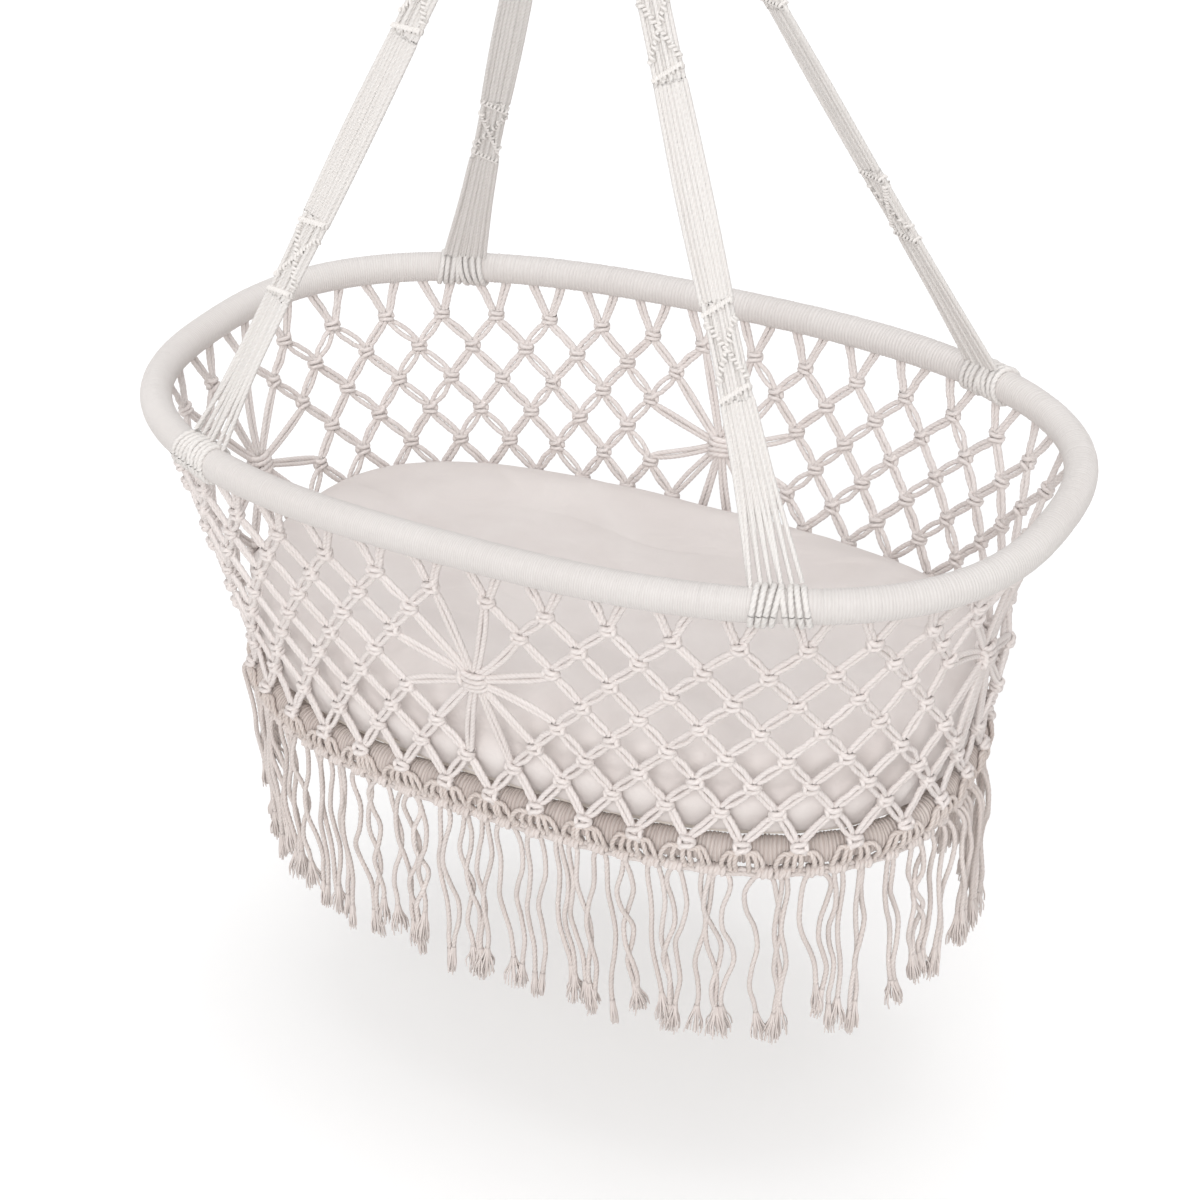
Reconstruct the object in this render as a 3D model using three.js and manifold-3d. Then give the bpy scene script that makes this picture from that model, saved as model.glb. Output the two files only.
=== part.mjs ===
// A hanging baby cradle, knotted from cotton cord: a steel ring carries four cord straps, which hold an
// oval rim hoop. A net of square knots hangs from the rim, with four rosettes, and holds a smaller base
// hoop with a board, a mattress and a fringe. Sizes are in millimetres, +Z is up, the long axis is X, the
// front is -Y, and the origin is where an outside hook bears inside the top of the hanging ring.
import * as THREE from "three";
import { mergeVertices } from "three/addons/utils/BufferGeometryUtils.js";
import Module from "manifold-3d";

const wasm = await Module();
wasm.setup();

// Clearances
const seatGap = 0.3; // between two pieces that touch
const cutOverrun = 12; // how far a cutting solid runs past what it cuts

// Hanging ring and the crown that loops over it
const ringInnerRadius = 30;
const ringBarRadius = 4;
const crownLoopWidth = 30;
const crownLoopThickness = 6;
const crownLoopCorner = 3;
const crownSideClearance = 1.2; // lets the loop turn on the curved bar
const whippingRadius = 17;
const whippingChamfer = 2;
const whippingLength = 56; // from the loop down to the mouth, where the straps spread
const whippingDrop = 10; // from the bar's centre down to the top of the whipping
const mouthRadius = 20; // the rounded end that the straps leave, centred on the mouth

// Rim hoop
const rimHalfLength = 410;
const rimHalfWidth = 250;
const rimRoundness = 2.535; // exponent of the oval: 2 is an ellipse
const rimRodRadius = 5;
const rimWrapRadius = 14;
const mouthToRim = 622; // height of the mouth over the rim's plane

// Base hoop
const baseHalfLength = 334;
const baseHalfWidth = 200;
const baseRoundness = 2.6; // exponent of the oval: 2 is an ellipse
const baseRodRadius = 4.5;
const baseWrapRadius = 13;
const basketDepth = 272; // from the rim's plane down to the base hoop's plane

// Straps and the lashings that tie them to the rim
const strapWidth = 29;
const strapRimWidth = 42;
const strapThickness = 6;
const panelWidth = 25;
const panelThickness = 9;
const strapNeckWidth = 27;
const strapShoulderWidth = 24;
const strapEndWidth = 11;
const strapEndThickness = 9;
const lashingLength = 46;
const lashingCrestRadius = 17;
const lashingValleyRadius = 15.4;
const lashingTurns = 8;

// Net
const netColumns = 40;
const netThickness = 5.5;
const knotHalfWidth = 7.5;
const knotHalfHeight = 9;
const tieHalfWidth = 4.5; // half of a double cord where it meets a hoop
const rosetteRadius = 15;
const rosetteThickness = 10;

// Base board and mattress
const boardThickness = 8;
const boardEdgeInset = 3; // from the base hoop's centre line in to the board's edge
const mattressThickness = 72;
const mattressNetClearance = 7; // from the net's middle to the mattress's widest line
const mattressFootInset = 14; // how far the foot is drawn in from the base hoop
const mattressSeamDepth = 6; // how far the sewn edge pulls the side in
const mattressDish = 5; // how far the middle of the top lies lower
const mattressShoulder = 42; // how far the soft edge rolls in to the top

// Fringe
const fringeBandHeight = 13;
const fringeBandThickness = 6;
const fringeCordRadius = 2.8;
const fringeRoot = 4; // how far a strand runs up into the band
const fringeLength = 165;
const fringeLengthSpread = 34;
const fringeSway = 9;
const fringeBendShares = [0, 0.5, 1]; // of a strand's length, where it bends
const strandsPerColumn = 4;

// Counts that set how finely a round shape is drawn
const ringSteps = 32;
const barSides = 8;
const hoopSides = 8;
const rimArcSteps = 11; // between two lashings
const baseArcSteps = 10; // in a quarter of the base hoop
const ovalSteps = 40;
const latheSteps = 16;
const ovalSamples = 1440;
const strandSides = 3;
const cornerSteps = 4;
const mouthSteps = 4;

// Levels that follow from the sizes above
const barZ = -(2 * ringInnerRadius + ringBarRadius); // centre of the ring's bar at its lowest point
const mouthZ = barZ - whippingLength;
const rimZ = mouthZ - mouthToRim;
const baseZ = rimZ - basketDepth;
const boardZ = baseZ + baseWrapRadius + seatGap;
const mattressZ = boardZ + boardThickness + seatGap;
const fringeBandZ = baseZ - baseWrapRadius - seatGap;

// Finishes
const ecru = { color: 0xe6e0d9, roughness: 0.92, metalness: 0 };
const warmEcru = { color: 0xdcd2c9, roughness: 0.94, metalness: 0 };
const wrapFinish = new THREE.MeshStandardMaterial(ecru);
const netFinish = new THREE.MeshStandardMaterial(ecru);
const strapFinish = new THREE.MeshStandardMaterial(ecru);
const fringeFinish = new THREE.MeshStandardMaterial(warmEcru);
const cottonFinish = new THREE.MeshStandardMaterial({ color: 0xe9e5e1, roughness: 0.85, metalness: 0 });
const steelFinish = new THREE.MeshStandardMaterial({ color: 0xb9bcc0, roughness: 0.3, metalness: 1 });
const boardFinish = new THREE.MeshStandardMaterial({ color: 0xe3dcd0, roughness: 0.7, metalness: 0 });

const up = new THREE.Vector3(0, 0, 1);
const cradle = new THREE.Group();
const vec = (x, y, z) => new THREE.Vector3(x, y, z);

// A closed mesh drawn from corner points and flat faces, each face counter-clockwise from outside.
class Shell {
  constructor() {
    this.points = [];
    this.faces = [];
  }
  face(...corners) {
    const first = this.points.length;
    this.points.push(...corners);
    for (let i = 1; i + 1 < corners.length; i++) this.faces.push([first, first + i, first + i + 1]);
  }
  geometry() {
    const flat = this.faces.flat().flatMap((i) => this.points[i].toArray());
    const made = new THREE.BufferGeometry();
    made.setAttribute("position", new THREE.Float32BufferAttribute(flat, 3));
    return made;
  }
}

// Three.js geometry to a manifold-3d solid and back.
function solidOf(geometry) {
  const bare = geometry.clone();
  bare.deleteAttribute("normal");
  bare.deleteAttribute("uv");
  const merged = mergeVertices(bare);
  return new wasm.Manifold(
    new wasm.Mesh({
      numProp: 3,
      vertProperties: merged.attributes.position.array,
      triVerts: new Uint32Array(merged.index.array),
    }),
  );
}

function geometryOf(solid) {
  const mesh = solid.getMesh();
  const made = new THREE.BufferGeometry();
  made.setAttribute("position", new THREE.BufferAttribute(new Float32Array(mesh.vertProperties), 3));
  made.setIndex(new THREE.BufferAttribute(new Uint32Array(mesh.triVerts), 1));
  return made;
}

function add(name, geometry, material) {
  const flat = geometry.index ? geometry.toNonIndexed() : geometry;
  flat.computeVertexNormals();
  const mesh = new THREE.Mesh(flat, material);
  mesh.name = name;
  cradle.add(mesh);
}

// A rounded oval. u runs from 0 at the front's middle, by way of the right end, once round to 1.
function ovalOf(halfLength, halfWidth, roundness) {
  const power = 2 / roundness;
  const bend = (value) => Math.sign(value) * Math.abs(value) ** power;
  const samples = [];
  const lengths = [0];
  for (let k = 0; k <= ovalSamples; k++) {
    const angle = (2 * Math.PI * k) / ovalSamples;
    samples.push(vec(halfLength * bend(Math.sin(angle)), -halfWidth * bend(Math.cos(angle)), 0));
    if (k) lengths.push(lengths[k - 1] + samples[k].distanceTo(samples[k - 1]));
  }
  const perimeter = lengths[ovalSamples];
  const at = (u) => {
    const target = (u - Math.floor(u)) * perimeter;
    let low = 0;
    let high = ovalSamples;
    while (high - low > 1) {
      const middle = (low + high) >> 1;
      if (lengths[middle] <= target) low = middle;
      else high = middle;
    }
    const share = (target - lengths[low]) / (lengths[high] - lengths[low]);
    return samples[low].clone().lerp(samples[high], share);
  };
  return { at, perimeter };
}

const rimOval = ovalOf(rimHalfLength, rimHalfWidth, rimRoundness);
const baseOval = ovalOf(baseHalfLength, baseHalfWidth, baseRoundness);

// Where a tube's section stands: its middle, the direction along the tube, and the direction outwards.
function frameAt(oval, u, z) {
  const step = 1 / ovalSamples;
  const along = oval.at(u + step).sub(oval.at(u - step)).normalize();
  const middle = oval.at(u);
  middle.z = z;
  return { middle, along, out: along.clone().cross(up) };
}

function between(first, last, share) {
  const along = first.along.clone().lerp(last.along, share).normalize();
  return {
    middle: first.middle.clone().lerp(last.middle, share),
    along,
    out: first.out.clone().lerp(last.out, share).normalize(),
  };
}

// Corner points of a section whose flats stand at the radius.
function section(frame, radius) {
  const corner = radius / Math.cos(Math.PI / hoopSides);
  return Array.from({ length: hoopSides }, (_, k) => {
    const angle = (2 * Math.PI * (k + 1 / 2)) / hoopSides;
    return frame.middle
      .clone()
      .addScaledVector(frame.out, corner * Math.cos(angle))
      .addScaledVector(up, corner * Math.sin(angle));
  });
}

function joinSections(shell, first, last, inwards) {
  first.forEach((corner, k) => {
    const next = (k + 1) % first.length;
    const quad = [corner, last[k], last[next], first[next]];
    if (inwards) quad.reverse();
    shell.face(...quad);
  });
}

// A rod bent into a closed hoop.
function hoop(frames, radius) {
  const shell = new Shell();
  const rings = frames.map((frame) => section(frame, radius));
  rings.forEach((ring, k) => joinSections(shell, ring, rings[(k + 1) % rings.length], false));
  return shell.geometry();
}

// A sleeve round a rod, open at both ends. The outer radius may change from ring to ring.
function sleeve(frames, outerRadii, innerRadius) {
  const shell = new Shell();
  const outer = frames.map((frame, k) => section(frame, outerRadii[k]));
  const inner = [section(frames[0], innerRadius), section(frames[frames.length - 1], innerRadius)];
  const straight = outerRadii.some((radius) => radius !== outerRadii[0]);
  const bore = straight ? inner : frames.map((frame) => section(frame, innerRadius));
  for (let k = 0; k + 1 < outer.length; k++) joinSections(shell, outer[k], outer[k + 1], false);
  for (let k = 0; k + 1 < bore.length; k++) joinSections(shell, bore[k], bore[k + 1], true);
  const last = outer.length - 1;
  outer[0].forEach((corner, k) => {
    const next = (k + 1) % hoopSides;
    shell.face(corner, outer[0][next], bore[0][next], bore[0][k]);
    shell.face(outer[last][next], outer[last][k], bore[bore.length - 1][k], bore[bore.length - 1][next]);
  });
  return shell.geometry();
}

// Frames with the first and last drawn in by half a seat gap, so that neighbours stay apart.
function drawnIn(frames) {
  const inset = seatGap / 2;
  const list = frames.map((frame) => ({ ...frame, middle: frame.middle.clone() }));
  list[0].middle.addScaledVector(list[0].along, inset);
  list[list.length - 1].middle.addScaledVector(list[list.length - 1].along, -inset);
  return list;
}

// Hanging ring: a welded steel ring that stands in the XZ plane.
const ringMiddleRadius = ringInnerRadius + ringBarRadius;
const ring = new THREE.TorusGeometry(ringMiddleRadius, ringBarRadius, barSides, ringSteps);
ring.rotateX(Math.PI / 2);
ring.translate(0, 0, -ringInnerRadius);
add("hang_ring", ring, steelFinish);

// Crown: the strap cords looped over the ring's bar and whipped together below it.
function crownLoop() {
  const barTop = ringMiddleRadius - Math.sqrt(ringInnerRadius ** 2 - (crownLoopWidth / 2) ** 2);
  const eyeHalf = ringBarRadius + crownSideClearance;
  const eyeTop = barTop + seatGap;
  const eyeFoot = -eyeHalf;
  const rounded = (half, top, foot, corner) => {
    const outline = new THREE.Shape();
    outline.moveTo(-half, foot);
    outline.lineTo(half, foot);
    outline.lineTo(half, top - corner);
    outline.absarc(half - corner, top - corner, corner, 0, Math.PI / 2, false);
    outline.absarc(corner - half, top - corner, corner, Math.PI / 2, Math.PI, false);
    outline.closePath();
    return outline;
  };
  const outside = rounded(
    eyeHalf + crownLoopThickness,
    eyeTop + crownLoopThickness,
    -whippingDrop - whippingChamfer * 2,
    crownLoopCorner + crownLoopThickness,
  );
  outside.holes.push(rounded(eyeHalf, eyeTop, eyeFoot, crownLoopCorner));
  const made = new THREE.ExtrudeGeometry(outside, {
    depth: crownLoopWidth,
    bevelEnabled: false,
    curveSegments: cornerSteps,
  });
  made.translate(0, 0, -crownLoopWidth / 2);
  made.rotateX(Math.PI / 2);
  made.rotateZ(Math.PI / 2);
  made.translate(0, 0, barZ);
  return made;
}

function crownBody() {
  const top = barZ - whippingDrop;
  const profile = [];
  const turn = Math.asin(whippingRadius / mouthRadius);
  for (let k = 0; k <= mouthSteps; k++) {
    const angle = (turn * k) / mouthSteps;
    profile.push(new THREE.Vector2(mouthRadius * Math.sin(angle), mouthZ - mouthRadius * Math.cos(angle)));
  }
  profile[0].x = 0;
  profile.push(new THREE.Vector2(whippingRadius, top - whippingChamfer));
  profile.push(new THREE.Vector2(whippingRadius - whippingChamfer, top));
  profile.push(new THREE.Vector2(0, top));
  const made = new THREE.LatheGeometry(profile, latheSteps);
  made.rotateX(Math.PI / 2);
  return made;
}

add("strap_crown", geometryOf(solidOf(crownBody()).add(solidOf(crownLoop()))), strapFinish);

// Rim hoop, its wrapping between the straps, and the four lashings. The lashings follow the rod's chords.
const strapShares = [1 / 8, 3 / 8, 5 / 8, 7 / 8];
const cornerNames = ["front_right", "back_right", "back_left", "front_left"];
const sideNames = ["right", "back", "left", "front"];
const lashingShare = lashingLength / 2 / rimOval.perimeter;
const rimFrames = [];
strapShares.forEach((share, k) => {
  const from = share + lashingShare;
  const to = share + 1 / 4 - lashingShare;
  const arc = [];
  for (let n = 0; n <= rimArcSteps; n++) {
    arc.push(frameAt(rimOval, from + ((to - from) * n) / rimArcSteps, rimZ));
  }
  rimFrames.push(...arc);
  const radii = arc.map(() => rimWrapRadius);
  add("rim_wrap_" + sideNames[k], sleeve(drawnIn(arc), radii, rimRodRadius + seatGap), wrapFinish);
});
add("rim_hoop", hoop(rimFrames, rimRodRadius), steelFinish);

// A frame on the straight line under a strap, from 0 at one end of its lashing to 1 at the other.
function lashingFrame(k, place) {
  const first = frameAt(rimOval, strapShares[k] - lashingShare, rimZ);
  const last = frameAt(rimOval, strapShares[k] + lashingShare, rimZ);
  return between(first, last, place);
}

function lashing(k) {
  const frames = [];
  const radii = [];
  for (let n = 0; n <= 2 * lashingTurns; n++) {
    frames.push(lashingFrame(k, n / (2 * lashingTurns)));
    radii.push(n % 2 ? lashingCrestRadius : lashingValleyRadius);
  }
  return sleeve(drawnIn(frames), radii, rimRodRadius + seatGap);
}

cornerNames.forEach((corner, k) => add("lashing_" + corner, lashing(k), wrapFinish));

// Straps: flat bands of cords from the mouth of the crown down to the rim, each with two knotted panels.
// Each row gives a share of the length from the rim, the band's width there and its thickness.
const strapSectionShares = [
  [0, strapRimWidth, strapThickness],
  [0.225, strapNeckWidth, strapThickness],
  [0.232, panelWidth, panelThickness],
  [0.338, panelWidth, panelThickness],
  [0.345, strapNeckWidth, strapThickness],
  [0.46, strapWidth, strapThickness],
  [0.578, strapNeckWidth, strapThickness],
  [0.585, panelWidth, panelThickness],
  [0.69, panelWidth, panelThickness],
  [0.697, strapNeckWidth, strapThickness],
  [0.8, strapWidth, strapThickness],
  [0.91, strapShoulderWidth, strapThickness],
  [1, strapEndWidth, strapEndThickness],
];
const bandBevelShare = 0.3; // of the thickness, on each corner of a band's section

// A closed bar through a list of sections that follow one another along its length.
function barThrough(rings) {
  const shell = new Shell();
  for (let k = 0; k + 1 < rings.length; k++) joinSections(shell, rings[k], rings[k + 1], false);
  shell.face(...rings[0]);
  shell.face(...[...rings[rings.length - 1]].reverse());
  return solidOf(shell.geometry());
}

function strap(corner) {
  const foot = lashingFrame(corner, 1 / 2).middle;
  const mouth = vec(0, 0, mouthZ);
  const along = mouth.clone().sub(foot).normalize();
  const top = mouth.clone().addScaledVector(along, -(mouthRadius + seatGap));
  const across = lashingFrame(corner, 1).middle.sub(lashingFrame(corner, 0).middle).normalize();
  across.addScaledVector(along, -across.dot(along)).normalize();
  const through = across.clone().cross(along);
  const rings = strapSectionShares.map(([place, width, thickness]) => {
    const middle = foot.clone().lerp(top, place);
    const w = width / 2;
    const t = thickness / 2;
    const bevel = thickness * bandBevelShare;
    const outline = [
      [w, -t + bevel],
      [w, t - bevel],
      [w - bevel, t],
      [-w + bevel, t],
      [-w, t - bevel],
      [-w, -t + bevel],
      [-w + bevel, -t],
      [w - bevel, -t],
    ];
    return outline.map(([a, b]) => middle.clone().addScaledVector(across, a).addScaledVector(through, b));
  });
  const overrun = cutOverrun / lashingLength;
  const seat = [-overrun, 1 + overrun].map((place) =>
    section(lashingFrame(corner, place), lashingCrestRadius + seatGap),
  );
  return geometryOf(barThrough(rings).subtract(barThrough(seat)));
}

cornerNames.forEach((corner, k) => add("strap_" + corner, strap(k), strapFinish));

// Base hoop and its wrapping, in four lengths that meet under the straps.
const baseFrames = [];
strapShares.forEach((share, k) => {
  const arc = [];
  for (let n = 0; n <= baseArcSteps; n++) {
    arc.push(frameAt(baseOval, share + n / baseArcSteps / 4, baseZ));
  }
  baseFrames.push(...arc.slice(0, baseArcSteps));
  const radii = arc.map(() => baseWrapRadius);
  add("base_wrap_" + sideNames[k], sleeve(drawnIn(arc), radii, baseRodRadius + seatGap), wrapFinish);
});
add("base_hoop", hoop(baseFrames, baseRodRadius), steelFinish);

// Net. i counts half columns round the basket from the front's middle, and row counts half rows down from
// the ties at the rim, row 0, to the base hoop, row 8. A knot stands where i + row is even, and the knots of
// row 8 stand on the base hoop's winding.
const hoopRow = 8;
const centreRow = hoopRow / 2;
const halfColumns = 2 * netColumns;
const rosetteSpacing = halfColumns / 4;
const panelStarts = [-3, 4, 10]; // half columns from a rosette to the first of each panel

function rowLevel(row) {
  const top = rimZ - rimWrapRadius - seatGap;
  const foot = baseZ + baseWrapRadius + seatGap;
  return top + ((foot - top) * row) / hoopRow;
}

// A point of the basket's wall, which runs straight from the rim hoop down to the base hoop.
function wallAt(i, level) {
  const u = i / halfColumns;
  const point = rimOval.at(u).lerp(baseOval.at(u), (rimZ - level) / basketDepth);
  point.z = level;
  return point;
}

const wallPoint = (i, row) => wallAt(i, rowLevel(row));

function wallAxes(i, row) {
  const right = wallPoint(i + 1 / 2, row).sub(wallPoint(i - 1 / 2, row)).normalize();
  const rise = wallPoint(i, row - 1 / 2).sub(wallPoint(i, row + 1 / 2)).normalize();
  const out = right.clone().cross(rise).normalize();
  return { middle: wallPoint(i, row), right, rise, out };
}

// A corner of the net has a point on its outer face and one on its inner face.
function cornerAt(axes, dx, dz, thickness) {
  const point = axes.middle.clone().addScaledVector(axes.right, dx).addScaledVector(axes.rise, dz);
  return {
    outer: point.clone().addScaledVector(axes.out, thickness / 2),
    inner: point.clone().addScaledVector(axes.out, -thickness / 2),
  };
}

function knotAt(i, row) {
  const axes = wallAxes(i, row);
  return {
    top: cornerAt(axes, 0, knotHalfHeight, netThickness),
    left: cornerAt(axes, -knotHalfWidth, 0, netThickness),
    foot: cornerAt(axes, 0, -knotHalfHeight, netThickness),
    right: cornerAt(axes, knotHalfWidth, 0, netThickness),
  };
}

// The axes of the net where it meets a hoop: its thickness lies level there.
function levelAxes(i, row) {
  const axes = wallAxes(i, row);
  return { ...axes, out: axes.right.clone().cross(up).normalize() };
}

// A knot on the base hoop has a flat foot, which its left and right corners end.
function hoopKnotAt(i) {
  const axes = levelAxes(i, hoopRow);
  return {
    top: cornerAt(axes, 0, knotHalfHeight, netThickness),
    left: cornerAt(axes, -knotHalfWidth, 0, netThickness),
    right: cornerAt(axes, knotHalfWidth, 0, netThickness),
  };
}

// The end of a double cord at the rim, seen from outside: its left and right corners at one height. A tie
// under a strap ends at the lashing, which is thicker than the wrapping.
function tieAt(i) {
  const strapPlace = rosetteSpacing * (Math.floor(i / rosetteSpacing) + 1 / 2);
  const reach = (lashingLength / 2 + tieHalfWidth) / rimOval.perimeter;
  const underStrap = Math.abs(i - strapPlace) / halfColumns < reach;
  const drop = underStrap ? lashingCrestRadius - rimWrapRadius : 0;
  const axes = { ...levelAxes(i, 0), middle: wallAt(i, rowLevel(0) - drop) };
  return [cornerAt(axes, -tieHalfWidth, 0, netThickness), cornerAt(axes, tieHalfWidth, 0, netThickness)];
}

function closePort(shell, [from, to]) {
  shell.face(to.outer, from.outer, from.inner, to.inner);
}

// A double cord from one port to another. Each port is two corners, in the order of its knot's outline.
function cordBar(shell, [a, b], [c, d]) {
  shell.face(b.outer, a.outer, d.outer, c.outer);
  shell.face(b.inner, c.inner, d.inner, a.inner);
  shell.face(d.outer, a.outer, a.inner, d.inner);
  shell.face(b.outer, c.outer, c.inner, b.inner);
}

const portCorners = { ne: ["right", "top"], nw: ["top", "left"], sw: ["left", "foot"], se: ["foot", "right"] };
const port = (knot, side) => portCorners[side].map((corner) => knot[corner]);

// The distance in half columns from i to the nearest rosette.
const fromRosette = (i) => i - rosetteSpacing * Math.round(i / rosetteSpacing);

function inRosette(i, row) {
  return Math.abs(fromRosette(i)) + Math.abs(row - centreRow) <= 2;
}

// A port drawn back from its knot towards another port by the seat gap.
function drawnBack(end, start) {
  return end.map((corner, k) => {
    const other = start[1 - k];
    const shift = (side) => {
      const way = other[side].clone().sub(corner[side]).normalize();
      return corner[side].clone().addScaledVector(way, seatGap);
    };
    return { outer: shift("outer"), inner: shift("inner") };
  });
}

// The twelve knots that a rosette's cords run to, in half columns and half rows from its middle.
const rosetteReach = [
  [3, -1],
  [2, -2],
  [1, -3],
  [-1, -3],
  [-2, -2],
  [-3, -1],
  [-3, 1],
  [-2, 2],
  [-1, 3],
  [1, 3],
  [2, 2],
  [3, 1],
];

function rosette(shell, i, knots) {
  const axes = wallAxes(i, centreRow);
  const angles = rosetteReach.map(([di, dRow]) => {
    const away = wallPoint(i + di, centreRow + dRow).sub(axes.middle);
    return Math.atan2(away.dot(axes.rise), away.dot(axes.right));
  });
  const count = angles.length;
  const corners = angles.map((angle, k) => {
    const before = angles[(k + count - 1) % count];
    const gap = Math.atan2(Math.sin(angle - before), Math.cos(angle - before));
    const turn = angle - gap / 2;
    return cornerAt(axes, rosetteRadius * Math.cos(turn), rosetteRadius * Math.sin(turn), netThickness);
  });
  const crown = cornerAt(axes, 0, 0, rosetteThickness);
  rosetteReach.forEach(([di, dRow], k) => {
    const from = corners[k];
    const to = corners[(k + 1) % count];
    shell.face(crown.outer, from.outer, to.outer);
    shell.face(crown.inner, to.inner, from.inner);
    const side = (dRow < 0 ? "s" : "n") + (di > 0 ? "w" : "e");
    cordBar(shell, [from, to], port(knots(i + di, centreRow + dRow), side));
  });
}

// One panel of the net, from half column first up to, but not with, half column end.
function netPanel(first, end) {
  const shell = new Shell();
  const made = new Map();
  const knots = (i, row) => {
    const key = i + "," + row;
    if (!made.has(key)) made.set(key, row === hoopRow ? hoopKnotAt(i) : knotAt(i, row));
    return made.get(key);
  };
  const links = { ne: [1, -1, "sw"], nw: [-1, -1, "se"], sw: [-1, 1, "ne"], se: [1, 1, "nw"] };
  for (let i = first; i < end; i++) {
    for (let row = 1; row <= hoopRow; row++) {
      if ((i + row) % 2 || inRosette(i, row)) continue;
      const knot = knots(i, row);
      const corners = [knot.top, knot.left, knot.foot, knot.right].filter(Boolean);
      shell.face(...corners.map((corner) => corner.outer));
      shell.face(...corners.map((corner) => corner.inner).reverse());
      if (row === hoopRow) closePort(shell, [knot.left, knot.right]);
      for (const [side, [di, dRow, facing]] of Object.entries(links)) {
        const nextRow = row + dRow;
        const next = i + di;
        if (nextRow > hoopRow) continue;
        const start = port(knot, side);
        if (nextRow === 0) {
          const finish = tieAt(i + di / 2);
          cordBar(shell, start, finish);
          closePort(shell, [finish[1], finish[0]]);
        } else if (inRosette(next, nextRow)) {
          continue; // one of the rosette's own cords takes this port
        } else if (next < first) {
          closePort(shell, start);
        } else if (next >= end) {
          const finish = drawnBack(port(knots(next, nextRow), facing), start);
          cordBar(shell, start, finish);
          closePort(shell, [finish[1], finish[0]]);
        } else if (dRow > 0) {
          cordBar(shell, start, port(knots(next, nextRow), facing));
        }
      }
    }
  }
  for (let i = first; i < end; i++) if (fromRosette(i) === 0) rosette(shell, i, knots);
  return shell.geometry();
}

const netNames = ["front", "right", "back", "left"];
const turnNames = ["front_right", "right_back", "back_left", "left_front"];
netNames.forEach((side, k) => {
  const start = rosetteSpacing * k;
  const [own, near, far] = panelStarts.map((offset) => start + offset);
  add("net_rosette_" + side, netPanel(own, near), netFinish);
  add("net_" + turnNames[k] + "_1", netPanel(near, far), netFinish);
  add("net_" + turnNames[k] + "_2", netPanel(far, own + rosetteSpacing), netFinish);
});

// Base board: an oval of plywood that lies on the base hoop inside the net.
function ovalOutline(halfLength, halfWidth, roundness, steps) {
  const oval = ovalOf(halfLength, halfWidth, roundness);
  return Array.from({ length: steps }, (_, k) => oval.at(k / steps));
}

const boardShape = new THREE.Shape(
  ovalOutline(baseHalfLength - boardEdgeInset, baseHalfWidth - boardEdgeInset, baseRoundness, ovalSteps).map(
    (point) => new THREE.Vector2(point.x, point.y),
  ),
);
const board = new THREE.ExtrudeGeometry(boardShape, { depth: boardThickness, bevelEnabled: false });
board.translate(0, 0, boardZ);
add("base_board", board, boardFinish);

// Mattress: a puffy oval pad with a sewn edge that draws its side in, a soft rim and a dished middle.
function mattressOval(level, inset) {
  const drop = (rimZ - level) / basketDepth;
  const mix = (top, foot) => top + (foot - top) * drop - inset;
  return ovalOutline(
    mix(rimHalfLength, baseHalfLength),
    mix(rimHalfWidth, baseHalfWidth),
    baseRoundness,
    ovalSteps,
  ).map((point) => vec(point.x, point.y, level));
}

// Each row gives a share of the height and how far the side stands in from the basket's wall there.
const mattressSideShares = [
  [0, mattressFootInset + mattressSeamDepth],
  [0.1, mattressFootInset],
  [0.3, mattressNetClearance],
  [0.45, mattressNetClearance],
  [0.55, mattressNetClearance + mattressSeamDepth],
  [0.65, mattressNetClearance],
  [0.8, mattressNetClearance + mattressSeamDepth],
  [0.93, mattressNetClearance + mattressShoulder / 2],
  [1, mattressNetClearance + mattressShoulder],
];
const mattressTopShares = [0.8, 0.4]; // of the top's outline

function mattress() {
  const rings = mattressSideShares.map(([share, inset]) => {
    return mattressOval(mattressZ + mattressThickness * share, inset);
  });
  const edge = rings[rings.length - 1];
  mattressTopShares.forEach((share) => {
    const dish = mattressDish * (1 - share);
    rings.push(edge.map((point) => vec(point.x * share, point.y * share, point.z - dish)));
  });
  const inner = rings[rings.length - 1];
  const shell = new Shell();
  for (let k = 0; k + 1 < rings.length; k++) joinSections(shell, rings[k], rings[k + 1], true);
  const foot = vec(0, 0, mattressZ);
  const middle = vec(0, 0, mattressZ + mattressThickness - mattressDish);
  for (let k = 0; k < ovalSteps; k++) {
    const next = (k + 1) % ovalSteps;
    shell.face(foot, rings[0][next], rings[0][k]);
    shell.face(middle, inner[k], inner[next]);
  }
  return shell.geometry();
}

add("mattress", mattress(), cottonFinish);

// Fringe: a knotted band under the base hoop, with a strand for each cord end that hangs from it.
// scatter gives a fixed number from -1 to 1 for each place, so that no two strands hang alike.
const scatterSteps = 97; // a count of the different numbers
const scatterSkipSteps = 53; // a count of those between one place and the next
const lengthSeedCount = 1;
const swaySeedCount = 3;
const bulgeSeedCount = 5;

function scatter(place) {
  const step = (((place * scatterSkipSteps) % scatterSteps) + scatterSteps) % scatterSteps;
  return (2 * step) / scatterSteps - 1;
}

function fringeBand(from, to) {
  const count = Math.round((to - from) / 2);
  const rings = [];
  for (let k = 0; k <= count; k++) {
    const frame = frameAt(baseOval, (from + ((to - from) * k) / count) / halfColumns, fringeBandZ);
    rings.push(frame);
  }
  const half = fringeBandThickness / 2;
  const corners = drawnIn(rings).map((frame) =>
    [
      [half, -fringeBandHeight],
      [half, 0],
      [-half, 0],
      [-half, -fringeBandHeight],
    ].map(([a, b]) => frame.middle.clone().addScaledVector(frame.out, a).addScaledVector(up, b)),
  );
  return barThrough(corners);
}

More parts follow.
